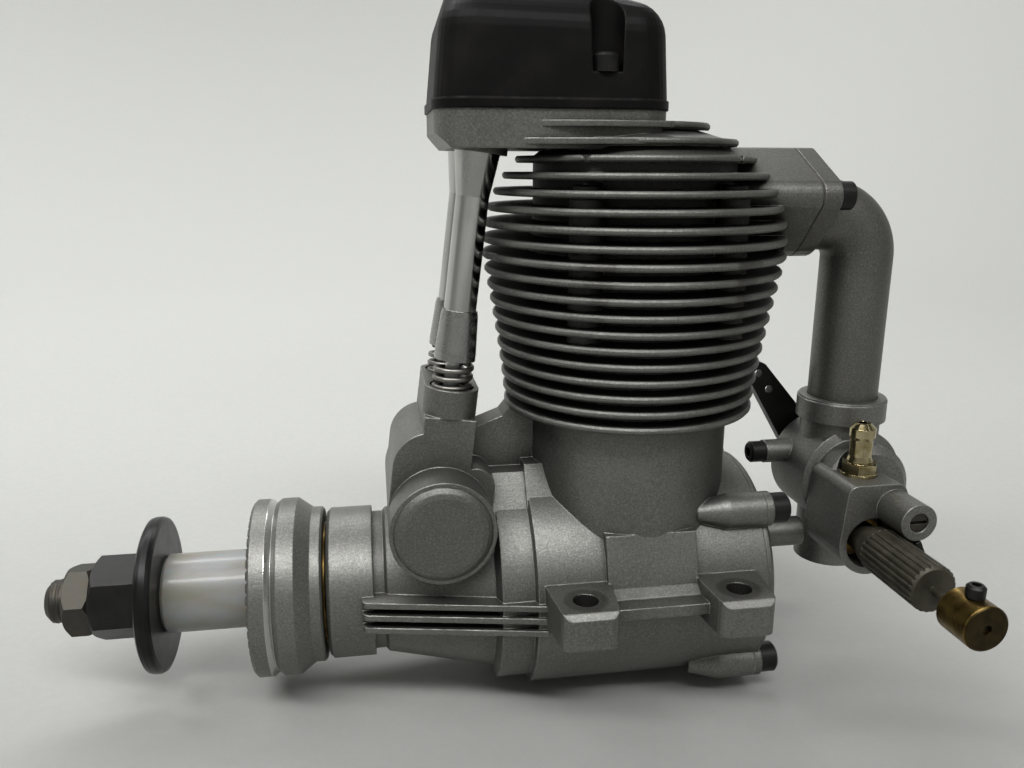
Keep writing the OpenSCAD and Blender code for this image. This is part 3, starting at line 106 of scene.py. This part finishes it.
class Finish:
    """One material and the nodes that it is made of. Its lengths are in millimetres."""

    def __init__(self, name):
        self.material = bpy.data.materials.new(name)
        self.material.use_nodes = True
        self.tree = self.material.node_tree
        self.tree.nodes.clear()
        self.place = self.node("ShaderNodeTexCoord", out="Object")

    def node(self, kind, settings=None, sockets=None, out=0):
        """Adds a node, sets its settings, then its sockets, and gives back one of its outputs."""
        made = self.tree.nodes.new(kind)
        for key, value in (settings or {}).items():
            setattr(made, key, value)
        for key, value in (sockets or {}).items():
            socket = self.find(made.inputs, key)
            if isinstance(value, Value):
                self.tree.links.new(value.socket, socket)
            elif socket.type == "RGBA":
                socket.default_value = (*value, 1)
            else:
                socket.default_value = value
        return Value(self, self.find(made.outputs, out))

    @staticmethod
    def find(sockets, key):
        """A socket by its number, or by its name among those that are switched on."""
        if isinstance(key, int):
            return sockets[key]
        return next(s for s in sockets if s.enabled and s.name == key)

    def math(self, operation, *numbers):
        return self.node("ShaderNodeMath", {"operation": operation}, dict(enumerate(numbers)))

    def mix(self, factor, first, second):
        """The first colour where factor is 0, the second where it is 1."""
        return self.node(
            "ShaderNodeMix", {"data_type": "RGBA"}, {"Factor": factor, "A": first, "B": second},
            out="Result")

    def axis(self, name):
        """Place along X, Y or Z, in metres."""
        return self.node("ShaderNodeSeparateXYZ", None, {"Vector": self.place}, out=name)

    def noise(self, size, detail=2.0, stretch=(1, 1, 1)):
        """Cloudy noise whose blobs are about size across."""
        scaled = self.node(
            "ShaderNodeVectorMath", {"operation": "MULTIPLY"},
            {0: self.place, 1: [s / (size * MM) for s in stretch]})
        return self.node(
            "ShaderNodeTexNoise", None, {"Vector": scaled, "Scale": 1.0, "Detail": detail}, out="Fac")

    def rise(self, value, low, high):
        """0 below low, 1 above high, smooth between them."""
        return self.node(
            "ShaderNodeMapRange", {"interpolation_type": "SMOOTHSTEP"},
            {"Value": value, "From Min": low, "From Max": high})

    def soft_edges(self, radius):
        """Normals of the surface as if its edges were rounded off."""
        return self.node("ShaderNodeBevel", {"samples": 6}, {"Radius": radius * MM})

    def edge_wear(self, rounded):
        """1 on sharp edges, where handling rubs the surface bright; on the castings it also carries a
        painted highlight.
        """
        face = self.node("ShaderNodeNewGeometry", out="Normal")
        turned = self.node(
            "ShaderNodeVectorMath", {"operation": "DOT_PRODUCT"}, {0: rounded, 1: face}, out="Value")
        return self.rise(1 - turned, 0.01, 0.2)

    def open_air(self, reach):
        """1 on open surfaces, less in corners and between fins."""
        return self.node(
            "ShaderNodeAmbientOcclusion", {"samples": 8}, {"Distance": reach * MM}, out="AO")

    def bump(self, height, depth, strength, under=None):
        """Normals for a relief, laid over the normals under it."""
        sockets = {"Height": height, "Distance": depth * MM, "Strength": strength}
        if under is not None:
            sockets["Normal"] = under
        return self.node("ShaderNodeBump", None, sockets)

    def surface(self, **sockets):
        """Ends the finish in one shader: base_color is its socket Base Color, and so on."""
        named = {
            key.replace("_", " ").title().replace("Ior", "IOR"): value
            for key, value in sockets.items()}
        shader = self.node("ShaderNodeBsdfPrincipled", None, named)
        end = self.tree.nodes.new("ShaderNodeOutputMaterial")
        self.tree.links.new(shader.socket, end.inputs["Surface"])
        return self.material


def tone(shade, times, most=1.0):
    """A lighter or darker shade, with nothing in it above most."""
    return [min(most, c * times) for c in shade]


def blasted_casting(name, shade, corner_shade_strength, rounding=0.38, worn_lugs=False, bright_band=None):
    """Bead-blasted cast aluminium: satin, sandy to the eye, with painted shade in its corners and
    edges lightened partly by wear and partly as a painted highlight.
    """
    corner_shade_colour, screw_mark, bare_metal = (0.02, 0.0185, 0.016), (0.05, 0.048, 0.044), (0.5, 0.5, 0.485)
    f = Finish(name)
    rounded = f.soft_edges(rounding)
    patches = f.noise(14, 3)
    sand = f.noise(0.32, 1)
    coarse = f.noise(0.9, 3)
    wear = f.edge_wear(rounded) * f.rise(f.noise(2.5), 0.3, 0.62)
    air = f.open_air(6)
    base = f.mix(f.rise(patches, 0.3, 0.7), tone(shade, 0.9), tone(shade, 1.1))
    base = f.mix(f.rise(sand, 0.5, 0.72) * 0.35, base, tone(shade, 0.5))
    base = f.mix(f.rise(1 - sand, 0.52, 0.72) * 0.4, base, tone(shade, 1.75))
    base = f.mix(f.rise(coarse, 0.62, 0.74) * 0.3, base, tone(shade, 0.6))
    # Painted shade: corners and the gaps between fins are darkened by how closed in they are.
    base = f.mix((1 - air) * corner_shade_strength, base, corner_shade_colour)
    # Edges lightened: partly rubbed wear, partly a painted highlight along the rims.
    base = f.mix(wear * 0.7, base, tone(shade, 2.4))
    rough = 0.43 + coarse * 0.1 - wear * 0.1 + (1 - air) * 0.15
    if worn_lugs:
        # A ragged mark round each of the four lug holes, left by the heads of the mounting screws.
        hole_x, hole_y, ragged = 14 * MM, 27 * MM, 0.9 * MM
        side = abs(f.axis("X")) - hole_x
        across = abs(f.axis("Y")) - hole_y
        from_hole = (side * side + across * across) ** 0.5
        ring = 1 - f.rise(from_hole + f.noise(0.9) * ragged, 4.0 * MM, 4.7 * MM)
        base = f.mix(ring * 0.5, base, screw_mark)
        rough = rough - ring * 0.1
    if bright_band:
        # A turned band between two places along the shaft.
        low, high = bright_band
        along = f.axis("X")
        band = f.rise(along, low * MM, (low + BLUR) * MM)
        band = band * (1 - f.rise(along, (high - BLUR) * MM, high * MM))
        base = f.mix(band, base, bare_metal)
        rough = rough - band * 0.3
    normal = f.bump(sand * 0.7 + coarse * 0.5, 0.07, 0.6, rounded)
    return f.surface(base_color=base, metallic=0.92, roughness=rough, normal=normal)


def turned_aluminium(name, shade):
    """Lathe-turned aluminium with fine tool rings along Z."""
    f = Finish(name)
    rounded = f.soft_edges(0.15)
    rings = f.noise(0.22, 1, (0.02, 0.02, 1))
    haze = f.noise(5, 3)
    scratches = f.noise(0.6, 4, (0.4, 3, 1))
    wear = f.edge_wear(rounded)
    base = f.mix(f.rise(haze, 0.3, 0.7), tone(shade, 0.88), shade)
    base = f.mix(f.rise(rings, 0.55, 0.75) * 0.25, base, tone(shade, 0.6))
    # Painted shade in corners and recesses.
    base = f.mix((1 - f.open_air(2.5)) * 0.5, base, (0.09, 0.085, 0.08))
    base = f.mix(wear * 0.4, base, tone(shade, 1.6, 0.9))
    rough = 0.2 + haze * 0.12 + f.rise(scratches, 0.55, 0.75) * 0.12
    normal = f.bump(rings, 0.02, 0.35, rounded)
    return f.surface(base_color=base, metallic=1.0, roughness=rough, normal=normal)


def polished_tube(name):
    """Bright drawn tube with faint lengthwise draw lines and a few dull smears."""
    f = Finish(name)
    rounded = f.soft_edges(0.12)
    lines = f.noise(0.18, 2, (1, 1, 0.015))
    smear = f.noise(6, 4, (1, 1, 0.5))
    base = f.mix(f.rise(smear, 0.4, 0.7) * 0.6, (0.5, 0.5, 0.49), (0.38, 0.375, 0.36))
    rough = 0.09 + f.rise(smear, 0.42, 0.7) * 0.16 + lines * 0.05
    normal = f.bump(lines, 0.012, 0.3, rounded)
    return f.surface(base_color=base, metallic=1.0, roughness=rough, normal=normal)


def bare_steel(name, shade, tarnish, dullness):
    """Bare steel that has dulled, with brown tarnish in blotches and painted shade in its roots."""
    f = Finish(name)
    rounded = f.soft_edges(0.14)
    blotch = f.noise(1.6, 4)
    grain = f.noise(0.2, 3)
    wear = f.edge_wear(rounded)
    base = f.mix(f.rise(blotch, 0.35, 0.7) * tarnish, shade, (0.1, 0.085, 0.065))
    # Painted shade in the roots of threads and other hollows.
    base = f.mix((1 - f.open_air(1.5)) * 0.6, base, (0.05, 0.04, 0.03))
    base = f.mix(wear * 0.5, base, tone(shade, 3, 0.75))
    rough = dullness + blotch * 0.2 + grain * 0.08
    normal = f.bump(grain, 0.03, 0.4, rounded)
    return f.surface(base_color=base, metallic=1.0, roughness=rough, normal=normal)


def black_oxide(name, shade, dullness):
    """Oxided metal: dark, a little oily, rubbed to grey on its edges."""
    f = Finish(name)
    rounded = f.soft_edges(0.16)
    film = f.noise(3, 4)
    grain = f.noise(0.25, 3)
    wear = f.edge_wear(rounded) * f.rise(f.noise(1.2, 3), 0.35, 0.65)
    base = f.mix(f.rise(film, 0.3, 0.7), shade, tone(shade, 1.8))
    base = f.mix(wear * 0.5, base, (0.27, 0.255, 0.23))
    rough = dullness + film * 0.16 + grain * 0.08 - wear * 0.06
    normal = f.bump(grain, 0.02, 0.35, rounded)
    return f.surface(base_color=base, metallic=0.6, roughness=rough, normal=normal)


def moulded_plastic(name):
    """Black moulded plastic with a fine spark-eroded texture and faint dust."""
    f = Finish(name)
    rounded = f.soft_edges(0.5)
    texture = f.noise(0.35, 4)
    dust = f.noise(7, 5)
    scuff = f.edge_wear(rounded) * f.rise(f.noise(1.8, 3), 0.4, 0.7)
    base = f.mix(f.rise(dust, 0.4, 0.75), (0.0035, 0.0033, 0.0032), (0.007, 0.0062, 0.006))
    base = f.mix(scuff * 0.4, base, (0.06, 0.052, 0.05))
    rough = 0.4 + texture * 0.14 + f.rise(dust, 0.5, 0.75) * 0.08
    normal = f.bump(texture, 0.04, 0.45, rounded)
    return f.surface(base_color=base, roughness=rough, normal=normal, specular_ior_level=0.1)


def milky_plastic(name):
    """Translucent white plastic tube, greasy in places."""
    f = Finish(name)
    rounded = f.soft_edges(0.15)
    smear = f.noise(4, 3, (0.4, 1, 1))
    base = f.mix(f.rise(smear, 0.35, 0.7), (0.24, 0.246, 0.246), (0.2, 0.194, 0.16))
    rough = 0.3 + smear * 0.14
    normal = f.bump(f.noise(1.5, 3), 0.03, 0.2, rounded)
    return f.surface(
        base_color=base, roughness=rough, normal=normal, subsurface_weight=0.5, subsurface_scale=0.003,
        coat_weight=0.18, coat_roughness=0.05)


def yellow_brass(name, bright, stained, dullness, shade_below_y=None):
    """Machined brass, browned where fuel has dried on it, with painted shade in its hollows and on its
    end below a place along Y.
    """
    f = Finish(name)
    rounded = f.soft_edges(0.12)
    stain = f.noise(1.8, 4)
    tooling = f.noise(0.16, 2)
    wear = f.edge_wear(rounded)
    base = f.mix(f.rise(stain, 0.35, 0.7), bright, stained)
    # Painted shade in the hollows.
    base = f.mix((1 - f.open_air(1.2)) * 0.55, base, tone(bright, 0.15))
    base = f.mix(wear * 0.5, base, tone(bright, 2))
    if shade_below_y:
        # Painted shade on the near end of the fittings.
        end = 1 - f.rise(f.axis("Y"), shade_below_y * MM, (shade_below_y + BLUR) * MM)
        base = f.mix(end * 0.85, base, (0.025, 0.02, 0.011))
    rough = dullness + stain * 0.2
    normal = f.bump(tooling, 0.015, 0.3, rounded)
    return f.surface(base_color=base, metallic=1.0, roughness=rough, normal=normal)


def gasket_paper(name):
    """Dark fibrous gasket sheet."""
    f = Finish(name)
    fibre = f.noise(0.3, 4, (1, 1, 4))
    base = f.mix(f.rise(fibre, 0.35, 0.7), (0.025, 0.023, 0.02), (0.06, 0.055, 0.05))
    normal = f.bump(fibre, 0.04, 0.5)
    return f.surface(base_color=base, roughness=0.75 + fibre * 0.15, normal=normal)


def studio_paper(name):
    """Pale card with a faint tooth, with painted shade on the floor in front of the engine."""
    f = Finish(name)
    tooth = f.noise(1.5, 3)
    base = f.mix(f.rise(tooth, 0.3, 0.7), (0.42, 0.424, 0.405), (0.44, 0.444, 0.425))
    depth = f.axis("Y")
    # Painted shade on a band of the floor in front of the engine.
    front_shade = (1 - f.rise(depth, -0.24, 0.2)) * f.rise(depth, -0.9, -0.4)
    base = f.mix(front_shade, base, (0.2, 0.2, 0.194))
    return f.surface(base_color=base, roughness=0.7 + tooth * 0.1)


# Finishes that pieces made below share with the CAD nodes.
case_casting = blasted_casting("crankcase_casting", (0.175, 0.175, 0.163), corner_shade_strength=0.85, worn_lugs=True)
head_casting = blasted_casting("cover_casting", (0.158, 0.158, 0.146), corner_shade_strength=0.9)
shaft_steel = bare_steel("shaft_steel", (0.06, 0.059, 0.053), tarnish=0.5, dullness=0.4)
spring_steel = bare_steel("bright_steel", (0.58, 0.58, 0.57), tarnish=0.2, dullness=0.3)
spring_wire = bare_steel("spring_wire", (0.26, 0.255, 0.24), tarnish=0.4, dullness=0.24)

finishes = {
    case_casting: ["crankcase"],
    head_casting: ["rear_cover", "cam_covers", "cylinder_head"],
    blasted_casting("pipe_casting", (0.15, 0.149, 0.136), corner_shade_strength=0.5): ["intake_pipe"],
    blasted_casting("carburettor_casting", (0.2, 0.2, 0.187), corner_shade_strength=0.6, rounding=0.3): [
        "carburettor_body"],
    blasted_casting(
        "drive_casting", (0.18, 0.18, 0.168), corner_shade_strength=0.6, rounding=0.25, bright_band=(-69.5, -68.2)): [
        "drive_washer"],
    turned_aluminium("turned_sleeves", (0.34, 0.34, 0.33)): ["pushrod_sleeves"],
    turned_aluminium("turned_pins", (0.7, 0.7, 0.69)): [
        "piston", "wrist_pin", "connecting_rod", "throttle_barrel"],
    polished_tube("drawn_tube"): ["pushrod_tubes"],
    shaft_steel: ["crankshaft", "lock_nut", "mixture_screw"],
    spring_steel: [
        "front_bearing", "rear_bearing", "cam_bearings", "cylinder_liner", "glow_plug", "rocker_shaft",
        "valve_guides", "intake_valve_spring", "exhaust_valve_spring", "camshaft",
        "cam_gear", "piston_ring", "intake_tappet", "exhaust_tappet", "intake_pushrod",
        "exhaust_pushrod", "intake_rocker", "exhaust_rocker", "intake_valve", "exhaust_valve",
        "intake_retainer", "exhaust_retainer"],
    black_oxide("oxide_screws", (0.009, 0.0087, 0.0084), dullness=0.3): [
        "rear_cover_screws", "head_screws", "rocker_cover_screws", "intake_pipe_screws", "prop_nut",
        "throttle_stop_screw", "collar_screw", "ratchet_spring", "throttle_lever"],
    black_oxide("glossy_washer", (0.005, 0.005, 0.0049), dullness=0.24): ["prop_washer"],
    black_oxide("needle_bronze", (0.04, 0.036, 0.026), dullness=0.36): ["needle_valve"],
    moulded_plastic("cover_plastic"): ["rocker_cover"],
    milky_plastic("sleeve_plastic"): ["spacer_sleeve"],
    yellow_brass("plated_brass", (0.5, 0.44, 0.27), (0.3, 0.24, 0.11), dullness=0.05): [
        "fuel_nipple", "breather_nipple"],
    yellow_brass(
        "brass_fittings", (0.22, 0.15, 0.045), (0.08, 0.05, 0.015), dullness=0.24, shade_below_y=-52.5): [
        "needle_gland", "needle_collar", "thrust_washer", "taper_collet"],
    spring_wire: ["pushrod_springs"],
    gasket_paper("gasket_sheet"): ["intake_gasket"],
}
for material, names in finishes.items():
    for name in names:
        mesh = frame["nodes"][name].data
        mesh.materials.clear()
        mesh.materials.append(material)
left_over = set(frame["nodes"]) - {name for names in finishes.values() for name in names}
assert not left_over, left_over


def finished_object(name, made, material):
    """Turns a bmesh into an object whose seams are closed and whose faces point outwards."""
    bmesh.ops.remove_doubles(made, verts=made.verts, dist=1e-6)
    bmesh.ops.recalc_face_normals(made, faces=made.faces)
    mesh = bpy.data.meshes.new(name)
    made.to_mesh(mesh)
    made.free()
    mesh.materials.append(material)
    piece = bpy.data.objects.new(name, mesh)
    bpy.context.collection.objects.link(piece)
    return piece


def new_piece(name, made, material, body):
    """Turns a bmesh into a piece of the engine that rides on a body."""
    piece = finished_object(name, made, material)
    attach(piece, body)
    return piece


def smooth(piece):
    """Shades the faces of a round piece as one curve."""
    for face in piece.data.polygons:
        face.use_smooth = True


def shaft_thread():
    """Right-hand thread on the shaft end, one V-shaped strand wound round the CAD shaft."""
    nut_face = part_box("lock_nut")[0].x
    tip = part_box("crankshaft")[0].x
    pitch, steps = 1.058 * MM, 40
    root, height, half_width = 3.93 * MM, 0.15 * MM, 0.42 * pitch
    bare_tip, nut_gap = 1.2 * MM, 0.3 * MM
    start = tip + bare_tip
    turns = (nut_face - nut_gap - start) / pitch
    made = bmesh.new()
    profile = [
        made.verts.new((start + along, 0, root + out))
        for along, out in ((-half_width, 0), (0, height), (half_width, 0))]
    edges = [made.edges.new(pair) for pair in zip(profile, profile[1:] + profile[:1])]
    bmesh.ops.spin(
        made, geom=profile + edges, cent=(0, 0, 0), axis=(1, 0, 0), dvec=(pitch / steps, 0, 0),
        angle=math.tau * turns, steps=round(steps * turns), use_merge=False)
    bmesh.ops.holes_fill(made, edges=made.edges, sides=len(profile))
    new_piece("shaft_end_thread", made, shaft_steel, "crank")


def prism(made, outline, lift):
    """Adds a straight prism over a flat outline."""
    face = made.faces.new([made.verts.new(point) for point in outline])
    grown = bmesh.ops.extrude_face_region(made, geom=[face])
    top = [v for v in grown["geom"] if isinstance(v, bmesh.types.BMVert)]
    bmesh.ops.translate(made, verts=top, vec=lift)


def pad_fillets():
    """Small fillets that run from the rail between the lugs up to the raised pad of the crankcase."""
    half_length = 8.4 * MM
    # The outline's places, in millimetres.
    foot_y, pad_y, inner_y = 24.2, 22.2, 21
    rail_z, pad_z = 4.29, 5.7
    outline = [(foot_y, rail_z), (pad_y, pad_z), (inner_y, pad_z), (inner_y, rail_z)]
    made = bmesh.new()
    for side in (-1, 1):
        prism(
            made, [(-half_length, side * y * MM, z * MM) for y, z in outline],
            (2 * half_length, 0, 0))
    new_piece("pad_fillets", made, case_casting, "engine")


def head_fin_lips():
    """Edges of the two top fins where they run past the walls of the rocker box."""
    thickness, steps = 1 * MM, 16
    # The outlines' places, in millimetres.
    wall, upper_z, lower_z = 14.2, 86.1, 83.29
    left, right, stand = -20.6, 2.4, 1.3
    middle, reach = (left + right) / 2, (right - left) / 2
    along = [left + (right - left) * i / steps for i in range(steps + 1)]
    upper = [(x, wall + stand * (1 - ((x - middle) / reach) ** 2)) for x in along]
    lower = [(-23.5, wall), (-3.7, 18.1), (-3.7, wall)]
    made = bmesh.new()
    for outline, height in ((upper, upper_z), (lower, lower_z)):
        underside = height * MM - thickness / 2
        for side in (-1, 1):
            prism(
                made, [(x * MM, side * y * MM, underside) for x, y in outline],
                (0, 0, thickness))
    new_piece("head_fin_lips", made, head_casting, "engine")


def add_coil(made, place, radius, wire, pitch, turns):
    """Adds a round-wire coil spring that climbs along +Z from the origin of place."""
    steps, sides = 28, 12
    ring = bmesh.ops.create_circle(made, segments=sides, radius=wire / 2)["verts"]
    others = set(made.verts) - set(ring)
    upright = Matrix.Translation((radius, 0, 0)) @ Matrix.Rotation(math.pi / 2, 4, "X")
    bmesh.ops.transform(made, matrix=upright, verts=ring)
    edges = [e for e in made.edges if e.verts[0] not in others]
    bmesh.ops.spin(
        made, geom=ring + edges, cent=(0, 0, 0), axis=(0, 0, 1), dvec=(0, 0, pitch / steps),
        angle=math.tau * turns, steps=round(steps * turns), use_merge=False)
    bmesh.ops.holes_fill(made, edges=made.edges, sides=sides)
    bmesh.ops.transform(made, matrix=place, verts=[v for v in made.verts if v not in others])


def valve_spring(name):
    """Valve spring in place of the stiff CAD coil."""
    low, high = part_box(f"{name}_valve_spring")
    middle = (low + high) / 2
    wire, turns = 0.9 * MM, 5
    radius = (high.x - low.x - wire) / 2
    pitch = (high.z - low.z - wire) / turns
    seat = Matrix.Translation((middle.x, middle.y, low.z + wire / 2))
    made = bmesh.new()
    add_coil(made, seat, radius, wire, pitch, turns)
    piece = new_piece(f"{name}_valve_coil", made, spring_steel, "engine")
    smooth(piece)
    lift = next(j["range_m"][1] for j in frame["joints"] if j["name"] == f"{name}_valve_slide")
    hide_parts(f"{name}_valve_spring")
    1 - lift / (high.z - low.z)
    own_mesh(piece)


def pushrod_tube_coils():
    """Round-wire springs in the two cups under the pushrod tubes, leaning as the tubes do."""
    cam_x, cam_y, cam_z = -37.7 * MM, 6.3 * MM, 17 * MM
    lean = Matrix.Rotation(math.radians(7), 4, "Y")
    cup = Matrix.Translation((0, 0, 20.95 * MM))
    radius, wire, pitch, turns = 3.2 * MM, 1.1 * MM, 1.62 * MM, 4.4
    made = bmesh.new()
    for side in (-1, 1):
        cam = Matrix.Translation((cam_x, side * cam_y, cam_z))
        add_coil(made, cam @ lean @ cup, radius, wire, pitch, turns)
    piece = new_piece("pushrod_tube_coils", made, spring_wire, "engine")
    smooth(piece)
    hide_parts("pushrod_springs")


def studio_cove():
    """Pale floor that curves up into a wall all round the engine."""
    floor_z = cad_low.z
    wall, wall_top, sweep = 1.4, 2.4, 0.8
    made = bmesh.new()
    profile = [made.verts.new((x, 0, z)) for x, z in ((0, floor_z), (wall, floor_z), (wall, wall_top))]
    for pair in zip(profile, profile[1:]):
        made.edges.new(pair)
    bmesh.ops.bevel(
        made, geom=[profile[1]], offset=sweep, offset_type="OFFSET", segments=16, profile=0.5,
        affect="VERTICES", material=-1)
    bmesh.ops.spin(
        made, geom=list(made.verts) + list(made.edges), cent=(0, 0, 0), axis=(0, 0, 1), angle=math.tau,
        steps=72, use_merge=True)
    card = finished_object("studio_floor", made, studio_paper("studio_card"))
    smooth(card)


def soft_box(name, place, aim, size, power):
    """Adds an oblong lamp at a place, turned to face its aim."""
    lamp = bpy.data.lights.new(name, "AREA")
    lamp.shape = "RECTANGLE"
    lamp.size, lamp.size_y = size
    lamp.energy = power
    box = bpy.data.objects.new(name, lamp)
    box.location = place
    box.rotation_euler = (Vector(aim) - Vector(place)).to_track_quat("-Z", "Y").to_euler()
    bpy.context.collection.objects.link(box)


def ceiling_tubes():
    """Four rows of tubes over the engine, along its shaft."""
    left, height = -0.22, 0.82
    aim, size = (-0.05, 0, 0), (1.3, 0.14)
    for name, across, power in (
            ("front_tubes", -0.5, 10), ("middle_tubes", -0.2, 1.6),
            ("over_tubes", 0.15, 1.4), ("back_tubes", 0.6, 5)):
        soft_box(name, (left, across, height), aim, size, power)


def wall_washes():
    """Four lamps that face outwards and light the wall of the cove."""
    height, aim_height, outwards, size = 0.9, 0.3, 2.1, (1.5, 0.4)
    for name, x, y, power in (
            ("back_wash", -0.08, 0.6, 8.5), ("front_wash", 0, -0.6, 2.2),
            ("left_wash", -0.6, 0, 2), ("right_wash", 0.6, 0, 3)):
        soft_box(name, (x, y, height), (outwards * x, outwards * y, aim_height), size, power)


def room_light():
    """Faint even light from all round, a little blue."""
    world = bpy.data.worlds.new("room")
    world.use_nodes = True
    background = world.node_tree.nodes["Background"].inputs
    background["Color"].default_value = (0.93, 0.96, 1, 1)
    background["Strength"].default_value = 0.07
    bpy.context.scene.world = world


def photo_camera():
    """The photograph's camera, as it was fitted to the engine in the photograph."""
    lens = bpy.data.cameras.new("photo_camera")
    lens.sensor_width = 36
    lens.lens = 29.73
    lens.clip_start = 0.01
    camera = bpy.data.objects.new("photo_camera", lens)
    place = (-0.04804, -0.1554, 0.07899)
    right = Vector((0.98699, -0.16076, 0.00246))
    up = Vector((0.03748, 0.24495, 0.96881))
    back = Vector((-0.15635, -0.95612, 0.24779))
    turn = Matrix((right, up, back)).transposed().to_4x4()
    camera.matrix_world = Matrix.Translation(place) @ turn
    bpy.context.collection.objects.link(camera)
    bpy.context.scene.camera = camera


shaft_thread()
pad_fillets()
head_fin_lips()
for name in ("intake", "exhaust"):
    valve_spring(name)
pushrod_tube_coils()
studio_cove()
ceiling_tubes()
wall_washes()
photo_camera()
room_light()
bpy.context.scene.view_settings.view_transform = "Standard"
